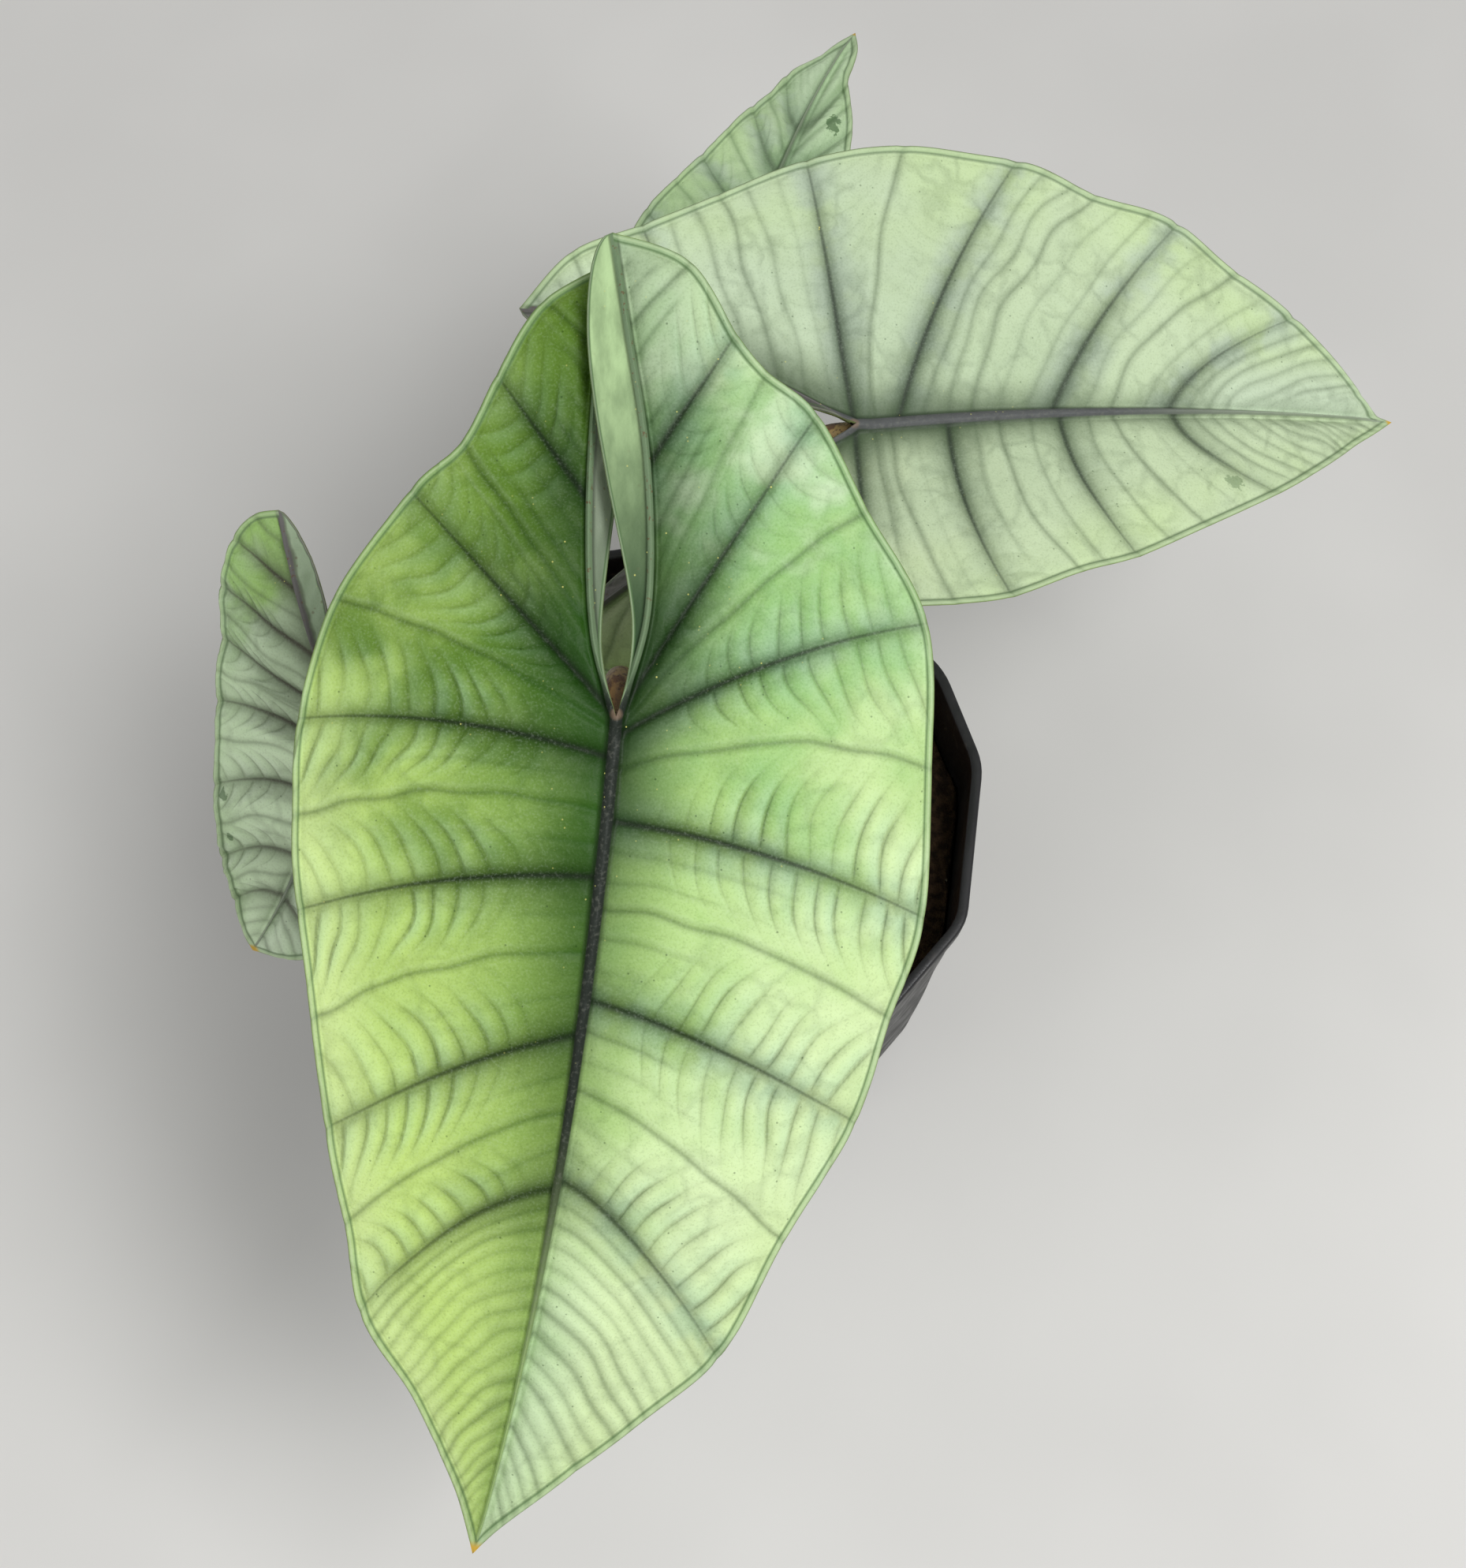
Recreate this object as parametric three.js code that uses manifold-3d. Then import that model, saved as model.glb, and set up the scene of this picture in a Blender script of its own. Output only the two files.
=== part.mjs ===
// A potted alocasia with four arrow-shaped leaves, in millimetres, +Z up.
// The origin is the middle of the pot's flat base. -Y is the front, where the large leaf hangs.
import * as THREE from "three";
import { mergeVertices } from "three/addons/utils/BufferGeometryUtils.js";
import Module from "manifold-3d";

const wasm = await Module();
wasm.setup();

const DEGREE = Math.PI / 180;
const FIT = 0.3; // clear gap between pieces that rest in or on each other

// Pot: a thin plastic plant pot whose wall has flexed into flats between uneven corners.
const POT = {
  height: 100,
  baseRadius: 69,
  rimRadius: 75,
  wall: 1.6,
  floor: 2.4,
  lipWidth: 2.8,
  lipDrop: 6,
  corners: [-24, 8.5, 29, 55, 84, 114, 146, 177, 207, 238, 269, 303],
  drainHoles: 6,
  drainRadius: 2.2,
  drainCircle: 42,
};

// Potting mix: it fills the pot to some way below the rim, with a plain hole for the crown.
const MIX = { level: 80, ripple: 1.4, pointsPerFlat: 3, ringRadii: [70, 60, 49, 38, 27] };

// Crown: the short stem base that stands in the mix and holds the four stalks in sockets.
const CROWN = {
  radius: 17,
  bottom: 62,
  top: 95,
  profile: [0.82, 1, 1.02, 0.97, 0.8], // shares of the radius, from bottom to top
  sides: 14,
  stalkCircle: 8.6,
  socketFloor: 80,
};

// Leaf blades: thickness, ribs and relief shared by all four.
const BLADE = {
  thickness: 1.0,
  ribRise: 1.2, // how far midrib and costae stand up from the blade
  ribUnder: 1.5, // and how far they stand out below it
  ribHalfWidth: 2.6,
  puff: 1.5, // swelling between two main veins
  rim: 0.5, // rise of the rolled edge
  fadeLength: 14, // ribs and relief fade out over the last stretch to each point
  ribShareMost: 0.35, // where the blade is narrow the rib takes at most this share of it
  lobeCurlReach: 40, // the lobes' own curl takes over along this stretch round the sinus
  swellPower: 0.8, // below 1 the swelling between veins is flat-topped
  stripRows: 2, // steps across the folded strip along a lobe's inner edge
  stripSkew: 1.4, // above 1 the strip is widest beyond the middle of the lobe
};
const SINUS_RAY = 4; // the ray that starts where the blade meets its stalk

// Stalks: round, thick at the crown and slim at the blade. Each nears its blade from approach mm
// behind the sinus, ends under the midrib at seatS, and turns flat to the blade past turnFrom.
const STALK = {
  baseRadius: 5,
  topRadius: 3,
  slimming: 0.8, // below 1 it slims sooner
  sides: 8,
  steps: 18,
  spread: 1.05, // the stalks part by this factor as they leave the crown
  approach: 7,
  seatS: 2,
  turnFrom: 0.9,
};

// Every blade is drawn flat first, s from the sinus to the tip and back along the lobes, t to the sides.
// A ray runs from the rib to the edge: rib s, rib t, edge s, edge t, and 1 where a main vein lies on it.
// Past the sinus the rib is the midrib, whose t follows from sweep, so those rays give t as 0.
// heading is a compass angle (0 = +Y, 90 = +X), pitch the slope at the sinus, bend its change per mm
// towards the tip and the lobes, fold and curl the slope beside the rib and its change per mm.
const FRONT = {
  name: "leaf_front",
  sinus: [-9.5, -33, 230],
  heading: 180,
  pitch: -22,
  bend: [-0.16, -0.1],
  roll: 0,
  twist: 0,
  sweep: [-0.0865, -0.0005],
  strip: { width: 8.5, fall: 0.7 },
  stepsPerRay: 3,
  stepsAcross: 6,
  right: {
    side: 1,
    fold: 4,
    curl: [0.42, 0.42],
    lift: 4,
    rays: [
      [-94, -1, -94, -1, 0],
      [-75, 2, -88, 14, 0],
      [-48, 6, -74, 23, 1],
      [-20, 6, -67, 29, 0],
      [0, 0, -59, 39, 1],
      [2, 0, -41, 49, 0],
      [4, 0, -19, 62, 1],
      [11, 0, 10, 63, 0],
      [20, 0, 41, 62, 1],
      [37, 0, 62, 55, 0],
      [55, 0, 84, 48, 1],
      [73, 0, 109, 33, 0],
      [92, 0, 135, 19.5, 1],
      [121, 0, 152, 1, 1],
      [155, 0, 171, -21, 0],
      [186, 0, 186, -33.4, 0],
    ],
  },
  left: {
    side: -1,
    fold: 4,
    curl: [0.42, 0.42],
    lift: -4,
    rays: [
      [-91, -2, -91, -2, 0],
      [-72, -4, -83, -15, 0],
      [-42, -5.5, -68, -24, 1],
      [-16, -4.5, -54, -31, 0],
      [0, 0, -45, -41, 1],
      [3, 0, -24, -57, 0],
      [8, 0, 0, -65, 1],
      [19, 0, 20, -66, 0],
      [31, 0, 39, -65, 1],
      [46, 0, 61, -62, 0],
      [62, 0, 84, -59.5, 1],
      [78, 0, 104, -56, 0],
      [94, 0, 123, -53.5, 1],
      [121, 0, 143, -43.5, 1],
      [155, 0, 166, -36, 0],
      [186, 0, 186, -33.4, 0],
    ],
  },
};

const RIGHT = {
  name: "leaf_right",
  sinus: [40, 54, 193],
  heading: 82,
  pitch: -8,
  bend: [-0.12, -0.1],
  roll: 8,
  twist: 0,
  sweep: [0.045, 0],
  strip: { width: 4, fall: 0.6 },
  stepsPerRay: 3,
  stepsAcross: 5,
  right: {
    side: 1,
    fold: 12,
    curl: [0.12, 0.3],
    lift: 0,
    rays: [
      [-71, 33, -71, 33, 0],
      [-53, 29, -58, 45, 0],
      [-35, 20, -42, 50, 1],
      [-16, 10, -24, 57, 0],
      [0, 0, -4, 63, 1],
      [4, 0, 18, 65, 0],
      [10, 0, 44, 62, 1],
      [28, 0, 62, 54.5, 0],
      [47, 0, 83, 49, 1],
      [62, 0, 98, 38, 0],
      [77, 0, 113, 29, 1],
      [90, 0, 122, 22, 0],
      [103, 0, 130, 14, 1],
      [115, 0, 134, 10, 0],
      [127, 0, 137, 7.5, 0],
      [142, 0, 142, 6.4, 0],
    ],
  },
  left: {
    side: -1,
    fold: 14,
    curl: [0.15, 0.35],
    lift: 0,
    rays: [
      [-70, -44, -70, -44, 0],
      [-52, -33, -64, -54, 0],
      [-35, -22, -45, -56, 1],
      [-16, -10, -24, -52, 0],
      [0, 0, -4, -47, 1],
      [8, 0, 14, -47, 0],
      [22, 0, 28, -45.5, 1],
      [35, 0, 45, -40, 0],
      [49, 0, 60, -36, 1],
      [63, 0, 80, -27.5, 0],
      [78, 0, 101, -18, 1],
      [91, 0, 112, -12, 0],
      [104, 0, 122, -6, 1],
      [115, 0, 129, -1.5, 0],
      [127, 0, 135, 2, 0],
      [142, 0, 142, 6.4, 0],
    ],
  },
};

const BACK = {
  name: "leaf_back",
  sinus: [10, 88, 176],
  heading: 13,
  pitch: -4,
  bend: [-0.16, -0.1],
  roll: 4,
  twist: 0,
  sweep: [0, -0.0005],
  strip: { width: 4, fall: 0.6 },
  stepsPerRay: 2,
  stepsAcross: 5,
  right: {
    side: 1,
    fold: 6,
    curl: [0.35, 0.35],
    lift: 0,
    rays: [
      [-52, 15, -52, 15, 0],
      [-38, 12, -46, 28, 0],
      [-25, 8, -30, 33, 1],
      [-10, 4, -12, 35, 0],
      [0, 0, 6, 33, 1],
      [6, 0, 20, 29, 0],
      [14, 0, 34, 26.5, 1],
      [26, 0, 46, 22, 0],
      [38, 0, 57, 18, 1],
      [48, 0, 68, 14, 0],
      [57, 0, 80, 10, 1],
      [66, 0, 88, 7, 0],
      [76, 0, 96, 4.5, 1],
      [91, 0, 107, 0, 0],
      [108, 0, 118, -4, 0],
      [129, 0, 129, -8.3, 0],
    ],
  },
  left: {
    side: -1,
    fold: 4,
    curl: [0.8, 0.5],
    lift: 0,
    rays: [
      [-48, -13, -48, -13, 0],
      [-37, -10, -43, -21, 0],
      [-24, -7, -29, -24, 1],
      [-10, -4, -12, -25.5, 0],
      [0, 0, 5, -27, 1],
      [6, 0, 20, -27.5, 0],
      [14, 0, 34, -26.5, 1],
      [26, 0, 48, -24, 0],
      [38, 0, 60, -21, 1],
      [48, 0, 71, -17.5, 0],
      [57, 0, 82, -16, 1],
      [66, 0, 93, -13.5, 0],
      [76, 0, 103, -11, 1],
      [91, 0, 111, -11, 0],
      [108, 0, 119, -10.6, 0],
      [129, 0, 129, -8.3, 0],
    ],
  },
};

const LEFT = {
  name: "leaf_left",
  sinus: [-76, -4, 163],
  heading: 200,
  pitch: -52,
  bend: [-0.15, -0.2],
  roll: 12,
  twist: -0.15,
  sweep: [-0.03, -0.0024],
  strip: { width: 5, fall: 0.6 },
  stepsPerRay: 2,
  stepsAcross: 5,
  right: {
    side: 1,
    fold: 3,
    curl: [0.4, 0.4],
    lift: 0,
    rays: [
      [-41, 22, -41, 22, 0],
      [-33, 17, -37, 32, 0],
      [-24, 12, -28, 38, 1],
      [-11, 6, -14, 40, 0],
      [0, 0, 0, 39, 1],
      [5, 0, 10, 38, 0],
      [10, 0, 20, 36, 1],
      [17, 0, 31, 32, 0],
      [25, 0, 42, 27, 1],
      [34, 0, 52, 20, 0],
      [44, 0, 62, 12, 1],
      [51, 0, 68, 5, 0],
      [58, 0, 73, -1, 1],
      [64, 0, 76, -6, 0],
      [71, 0, 78, -11, 0],
      [79, 0, 79, -17.3, 0],
    ],
  },
  left: {
    side: -1,
    fold: 3,
    curl: [0.3, 0.3],
    lift: 0,
    rays: [
      [-41, -27, -41, -27, 0],
      [-33, -21, -37, -34, 0],
      [-25, -16, -29, -38.5, 1],
      [-12, -7.5, -17, -39, 1],
      [0, 0, -5, -35.5, 1],
      [4, 0, 4, -36, 0],
      [9, 0, 12, -34.5, 1],
      [16, 0, 22, -33, 0],
      [23, 0, 33, -31, 1],
      [33, 0, 43, -29, 0],
      [43, 0, 53, -27, 1],
      [50, 0, 59, -25, 0],
      [57, 0, 65, -23, 1],
      [64, 0, 70, -21.5, 0],
      [71, 0, 75, -19.5, 0],
      [79, 0, 79, -17.3, 0],
    ],
  },
};

// The way of each stalk between the crown and its blade, and the direction in which it leaves the crown.
const STALK_WAYS = {
  front: { leaf: FRONT, from: 270, way: [[-3, -10.5, 130], [-7, -16, 185], [-9, -18.5, 209]] },
  right: { leaf: RIGHT, from: 8, way: [[13, 8, 125], [22, 25, 163]] },
  back: { leaf: BACK, from: 86, way: [[2, 20, 125], [5, 50, 157]] },
  left: { leaf: LEFT, from: 184, way: [[-15, -1, 114], [-39, -2, 142]] },
};

const LOOKS = {
  leaf_front: { color: 0x8fbf5a, roughness: 0.55 },
  leaf_right: { color: 0xb4cda8, roughness: 0.5 },
  leaf_back: { color: 0x9cc48f, roughness: 0.55 },
  leaf_left: { color: 0x86a887, roughness: 0.6 },
  stalk: { color: 0x5b4436, roughness: 0.5 },
  crown: { color: 0x6a5a3c, roughness: 0.8 },
  mix: { color: 0x2e231a, roughness: 1.0 },
  pot: { color: 0x0b0b0c, roughness: 0.45 },
};

// Geometry from a list of points and a list of triangles.
function geometryOf(points, triangles) {
  const geometry = new THREE.BufferGeometry();
  const coordinates = points.flatMap((point) => point.toArray());
  geometry.setAttribute("position", new THREE.Float32BufferAttribute(coordinates, 3));
  geometry.setIndex(triangles.flat());
  return geometry;
}

// A skin through closed rings of points, with both ends closed by flat faces.
function loft(rings) {
  const count = rings[0].length;
  const triangles = [];
  for (let ring = 0; ring + 1 < rings.length; ring += 1) {
    for (let i = 0; i < count; i += 1) {
      const next = (i + 1) % count;
      const a = ring * count + i;
      const b = ring * count + next;
      triangles.push([a, b, b + count], [a, b + count, a + count]);
    }
  }
  const flatCap = Array.from({ length: count }, (_, i) => {
    const angle = (2 * Math.PI * i) / count;
    return new THREE.Vector2(Math.cos(angle), Math.sin(angle));
  });
  const cap = THREE.ShapeUtils.triangulateShape(flatCap, []);
  const last = (rings.length - 1) * count;
  cap.forEach(([a, b, c]) => triangles.push([a, c, b], [last + a, last + b, last + c]));
  return geometryOf(rings.flat(), triangles);
}

function solidOf(geometry) {
  const merged = mergeVertices(geometry, 1e-4);
  const mesh = new wasm.Mesh({
    numProp: 3,
    vertProperties: new Float32Array(merged.attributes.position.array),
    triVerts: new Uint32Array(merged.index.array),
  });
  return new wasm.Manifold(mesh);
}

function geometryOfSolid(solid) {
  const { vertProperties, triVerts } = solid.getMesh();
  const geometry = new THREE.BufferGeometry();
  geometry.setAttribute("position", new THREE.Float32BufferAttribute(vertProperties, 3));
  geometry.setIndex([...triVerts]);
  return geometry;
}

// A smooth value through evenly numbered ones: place is a number between 0 and the last index.
function smoothThrough(values, place) {
  const last = values.length - 1;
  const i = Math.min(Math.floor(place), last - 1);
  const f = place - i;
  const before = values[Math.max(i - 1, 0)];
  const after = values[Math.min(i + 2, last)];
  const [a, b] = [values[i], values[i + 1]];
  const linear = b - before;
  const square = 2 * before - 5 * a + 4 * b - after;
  const cubic = 3 * a - before - 3 * b + after;
  return a + 0.5 * f * (linear + f * (square + f * cubic));
}

// How far along and up a line goes that starts at an angle and turns by bend for each mm.
function arc(start, bend, length) {
  const end = start + bend * length;
  return [(Math.sin(end) - Math.sin(start)) / bend, (Math.cos(start) - Math.cos(end)) / bend];
}

// The midrib sweeps a little to one side on its way to the tip.
function midribT(leaf, s) {
  return s > 0 ? leaf.sweep[0] * s + leaf.sweep[1] * s * s : 0;
}

// A flat point of a blade, raised by height, in its place on the plant.
function placeOnBlade(leaf, half, s, t, height) {
  const heading = leaf.heading * DEGREE;
  const ahead = new THREE.Vector3(Math.sin(heading), Math.cos(heading), 0);
  const across = new THREE.Vector3(-Math.cos(heading), Math.sin(heading), 0);
  const upward = new THREE.Vector3(0, 0, 1);
  const bend = (s > 0 ? leaf.bend[0] : leaf.bend[1]) * DEGREE;
  const slope = leaf.pitch * DEGREE + bend * s;
  const [along, rise] = arc(leaf.pitch * DEGREE, bend, s);
  const face = ahead.clone().multiplyScalar(-Math.sin(slope)).addScaledVector(upward, Math.cos(slope));
  const roll = (leaf.roll + leaf.twist * s) * DEGREE;
  const sideways = across.clone().multiplyScalar(Math.cos(roll)).addScaledVector(face, Math.sin(roll));
  const normal = across.clone().multiplyScalar(-Math.sin(roll)).addScaledVector(face, Math.cos(roll));
  const lobe = THREE.MathUtils.smoothstep(BLADE.lobeCurlReach / 4 - s, 0, BLADE.lobeCurlReach);
  const curl = (half.curl[0] * (1 - lobe) + half.curl[1] * lobe) * DEGREE;
  const rib = midribT(leaf, s);
  const [out, up] = arc(half.fold * DEGREE, -curl, (t - rib) * half.side);
  return new THREE.Vector3(...leaf.sinus)
    .addScaledVector(ahead, along)
    .addScaledVector(upward, rise)
    .addScaledVector(sideways, rib + out * half.side)
    .addScaledVector(normal, up + height);
}

// Where a blade's rib and edge are at a place between its rays, and how far it is between main veins.
function rayAt(leaf, half, place) {
  const rays = half.rays;
  const last = rays.length - 1;
  const column = (i) => rays.map((ray) => ray[i]);
  let root;
  if (place < SINUS_RAY) {
    const costa = rays.slice(0, SINUS_RAY + 1);
    root = [0, 1].map((i) => smoothThrough(costa.map((ray) => ray[i]), place));
  } else {
    const i = Math.min(Math.floor(place), last - 1);
    const s = THREE.MathUtils.lerp(rays[i][0], rays[i + 1][0], place - i);
    root = [s, midribT(leaf, s)];
  }
  const atTip = place === last;
  const edge = atTip ? root : [smoothThrough(column(2), place), smoothThrough(column(3), place)];
  const veins = rays.map((ray, i) => (ray[4] || i === 0 || i === last ? i : -1)).filter((i) => i >= 0);
  const after = veins.findIndex((vein, i) => i > 0 && vein >= place - 1e-9);
  const phase = (place - veins[after - 1]) / (veins[after] - veins[after - 1]);
  return { root, edge, phase };
}

// How high the blade stands above its plain bent sheet at a share of the way from rib to edge:
// it swells between the main veins and has a rolled edge.
function reliefAt(phase, share) {
  const swell = Math.sin(Math.PI * share) ** BLADE.swellPower;
  if (share === 1) {
    return BLADE.rim;
  }
  return (BLADE.puff * swell * (1 - Math.cos(2 * Math.PI * phase))) / 2;
}

// One blade as a closed shell: a grid over each half and a narrow folded strip along each lobe's
// inner edge, the same triangles again on the underside, and a wall round the edge.
function bladeGeometry(leaf) {
  const points = [];
  const depths = [];
  const triangles = [];
  const index = new Map();
  const vertex = (point, depth) => {
    const key = point.toArray().map((value) => value.toFixed(3)).join();
    if (!index.has(key)) {
      index.set(key, points.length);
      points.push(point);
      depths.push(depth);
    }
    return index.get(key);
  };
  const cell = ([a, b, c, d], side) => {
    [[a, b, c], [a, c, d]]
      .filter(([i, j, k]) => i !== j && j !== k && k !== i)
      .forEach(([i, j, k]) => triangles.push(side > 0 ? [i, j, k] : [i, k, j]));
  };
  const steps = (leaf.right.rays.length - 1) * leaf.stepsPerRay;
  const sinusStep = SINUS_RAY * leaf.stepsPerRay;
  const rootS = (half, place) => rayAt(leaf, half, place).root[0];
  const midribS = (place) => (rootS(leaf.right, place) + rootS(leaf.left, place)) / 2;

  for (const half of [leaf.right, leaf.left]) {
    const liftAt = (s) => half.lift * THREE.MathUtils.smoothstep(-s, 0, -half.rays[0][0]);
    const put = (s, t, height, depth) => vertex(placeOnBlade(leaf, half, s, t, height + liftAt(s)), depth);
    const grid = [];
    const strip = [];
    for (let i = 0; i <= steps; i += 1) {
      const place = i / leaf.stepsPerRay;
      const { root, edge, phase } = rayAt(leaf, half, place);
      const width = Math.hypot(edge[0] - root[0], edge[1] - root[1]);
      const fade = THREE.MathUtils.smoothstep(width, 0, BLADE.fadeLength);
      const onCosta = place < SINUS_RAY;
      const rib = onCosta ? root : [midribS(place), midribT(leaf, midribS(place))];
      const toTip = half.rays.at(-1)[0] - rib[0];
      const ribFade = onCosta ? fade : THREE.MathUtils.smoothstep(toTip, 0, BLADE.fadeLength);
      const ribDepth = BLADE.thickness + (BLADE.ribRise + BLADE.ribUnder) * ribFade;
      const ribShare = width > 0 ? Math.min(BLADE.ribHalfWidth / width, BLADE.ribShareMost) : 0;
      const row = [put(rib[0], rib[1], BLADE.ribRise * ribFade, ribDepth)];
      for (let j = 1; j <= leaf.stepsAcross; j += 1) {
        const share = THREE.MathUtils.lerp(ribShare, 1, (j - 1) / (leaf.stepsAcross - 1));
        const s = THREE.MathUtils.lerp(root[0], edge[0], share);
        const t = THREE.MathUtils.lerp(root[1], edge[1], share);
        row.push(put(s, t, reliefAt(phase, share) * fade, BLADE.thickness));
      }
      grid.push(row);
      if (i === 0 || i === sinusStep) {
        strip.push(Array(BLADE.stripRows + 1).fill(row[0]));
      } else if (i < sinusStep) {
        const out = root[0] / half.rays[0][0];
        const wide = leaf.strip.width * Math.sin(Math.PI * out ** BLADE.stripSkew);
        const shelf = [row[0]];
        for (let j = 1; j <= BLADE.stripRows; j += 1) {
          const share = j / BLADE.stripRows;
          const height = BLADE.ribRise * fade * (1 - share) - leaf.strip.fall * wide * share;
          shelf.push(put(root[0], root[1] - half.side * wide * share, height, BLADE.thickness));
        }
        strip.push(shelf);
      }
    }
    for (let i = 0; i < steps; i += 1) {
      for (let j = 0; j < leaf.stepsAcross; j += 1) {
        cell([grid[i][j], grid[i + 1][j], grid[i + 1][j + 1], grid[i][j + 1]], half.side);
      }
    }
    for (let i = 0; i < sinusStep; i += 1) {
      for (let j = 0; j < BLADE.stripRows; j += 1) {
        cell([strip[i][j], strip[i][j + 1], strip[i + 1][j + 1], strip[i + 1][j]], half.side);
      }
    }
  }
  return shellOf(points, depths, triangles);
}

// The closed shell under a skin: every point has a twin at its depth along the skin's normal.
function shellOf(points, depths, triangles) {
  const normals = points.map(() => new THREE.Vector3());
  const edges = new Map();
  for (const [a, b, c] of triangles) {
    const u = points[b].clone().sub(points[a]);
    const normal = u.cross(points[c].clone().sub(points[a]));
    [a, b, c].forEach((i) => normals[i].add(normal));
    [[a, b], [b, c], [c, a]].forEach(([i, j]) => edges.set(`${i},${j}`, [i, j]));
  }
  const count = points.length;
  const under = points.map((point, i) => point.clone().addScaledVector(normals[i].normalize(), -depths[i]));
  const rim = [...edges.values()].filter(([i, j]) => !edges.has(`${j},${i}`));
  const closed = [
    ...triangles,
    ...triangles.map(([a, b, c]) => [a + count, c + count, b + count]),
    ...rim.flatMap(([i, j]) => [[j, i, i + count], [j, i + count, j + count]]),
  ];
  return geometryOf([...points, ...under], closed);
}

// The line of a stalk, from its socket in the crown to just under the blade's sinus.
function stalkCurve({ leaf, from, way }) {
  const angle = from * DEGREE;
  const [x, y] = [CROWN.stalkCircle * Math.cos(angle), CROWN.stalkCircle * Math.sin(angle)];
  const underRib = -(BLADE.thickness + BLADE.ribUnder + FIT);
  const { approach, seatS } = STALK;
  return new THREE.CatmullRomCurve3([
    new THREE.Vector3(x, y, CROWN.socketFloor + FIT),
    new THREE.Vector3(x * STALK.spread, y * STALK.spread, CROWN.top + 2),
    ...way.map((point) => new THREE.Vector3(...point)),
    placeOnBlade(leaf, leaf.right, -approach, 0, underRib - approach),
    placeOnBlade(leaf, leaf.right, seatS, 0, underRib),
  ]);
}

// A stalk is round across its line, and its last ring lies flat against the blade's underside.
function stalkGeometry(stalk, extra) {
  const curve = stalkCurve(stalk);
  const frames = curve.computeFrenetFrames(STALK.steps, false);
  const aboveSeat = (height) => placeOnBlade(stalk.leaf, stalk.leaf.right, STALK.seatS, 0, height);
  const bladeNormal = aboveSeat(1).sub(aboveSeat(0));
  const rings = [];
  for (let i = 0; i <= STALK.steps; i += 1) {
    const share = i / STALK.steps;
    const center = curve.getPointAt(share);
    if (i === 0) {
      center.z -= extra;
    }
    const radius = extra + THREE.MathUtils.lerp(STALK.baseRadius, STALK.topRadius, share ** STALK.slimming);
    const facing = frames.tangents[i].clone();
    facing.lerp(bladeNormal, THREE.MathUtils.smoothstep(share, STALK.turnFrom, 1)).normalize();
    const aside = frames.normals[i].clone().projectOnPlane(facing).normalize();
    const other = facing.clone().cross(aside);
    rings.push(Array.from({ length: STALK.sides }, (_, k) => {
      const turn = (2 * Math.PI * k) / STALK.sides;
      return center.clone()
        .addScaledVector(aside, radius * Math.cos(turn))
        .addScaledVector(other, radius * Math.sin(turn));
    }));
  }
  return loft(rings);
}

function crownGeometry() {
  const rings = CROWN.profile.map((share, ring) => {
    const z = THREE.MathUtils.lerp(CROWN.bottom, CROWN.top, ring / (CROWN.profile.length - 1));
    return Array.from({ length: CROWN.sides }, (_, i) => {
      const turn = (2 * Math.PI * i) / CROWN.sides;
      const radius = CROWN.radius * share;
      return new THREE.Vector3(radius * Math.cos(turn), radius * Math.sin(turn), z);
    });
  });
  let solid = solidOf(loft(rings));
  for (const stalk of Object.values(STALK_WAYS)) {
    solid = solid.subtract(solidOf(stalkGeometry(stalk, FIT)));
  }
  return geometryOfSolid(solid);
}

// The pot's outline at a corner radius: its corners only, or points spread along its flats too.
function potRing(radius, z, pointsPerFlat = 1) {
  const corners = POT.corners.map((angle) => {
    return new THREE.Vector3(radius * Math.cos(angle * DEGREE), radius * Math.sin(angle * DEGREE), z);
  });
  return corners.flatMap((corner, i) => {
    const next = corners[(i + 1) % corners.length];
    return Array.from({ length: pointsPerFlat }, (_, k) => corner.clone().lerp(next, k / pointsPerFlat));
  });
}

function wallRadius(z) {
  return THREE.MathUtils.lerp(POT.baseRadius, POT.rimRadius, z / POT.height);
}

function potGeometry() {
  const { height, wall, floor, lipWidth, lipDrop } = POT;
  const shell = loft([
    potRing(wallRadius(0) + wall, 0),
    potRing(wallRadius(height - lipDrop) + wall, height - lipDrop),
    potRing(wallRadius(height - lipDrop) + lipWidth, height - lipDrop),
    potRing(wallRadius(height) + lipWidth, height),
    potRing(wallRadius(height), height),
    potRing(wallRadius(floor), floor),
  ]);
  let solid = solidOf(shell);
  for (let i = 0; i < POT.drainHoles; i += 1) {
    const angle = (2 * Math.PI * (i + 0.5)) / POT.drainHoles;
    const hole = new THREE.CylinderGeometry(POT.drainRadius, POT.drainRadius, 3 * floor, 8);
    hole.deleteAttribute("normal");
    hole.deleteAttribute("uv");
    hole.rotateX(Math.PI / 2);
    hole.translate(POT.drainCircle * Math.cos(angle), POT.drainCircle * Math.sin(angle), floor / 2);
    solid = solid.subtract(solidOf(hole));
  }
  return geometryOfSolid(solid);
}

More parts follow.
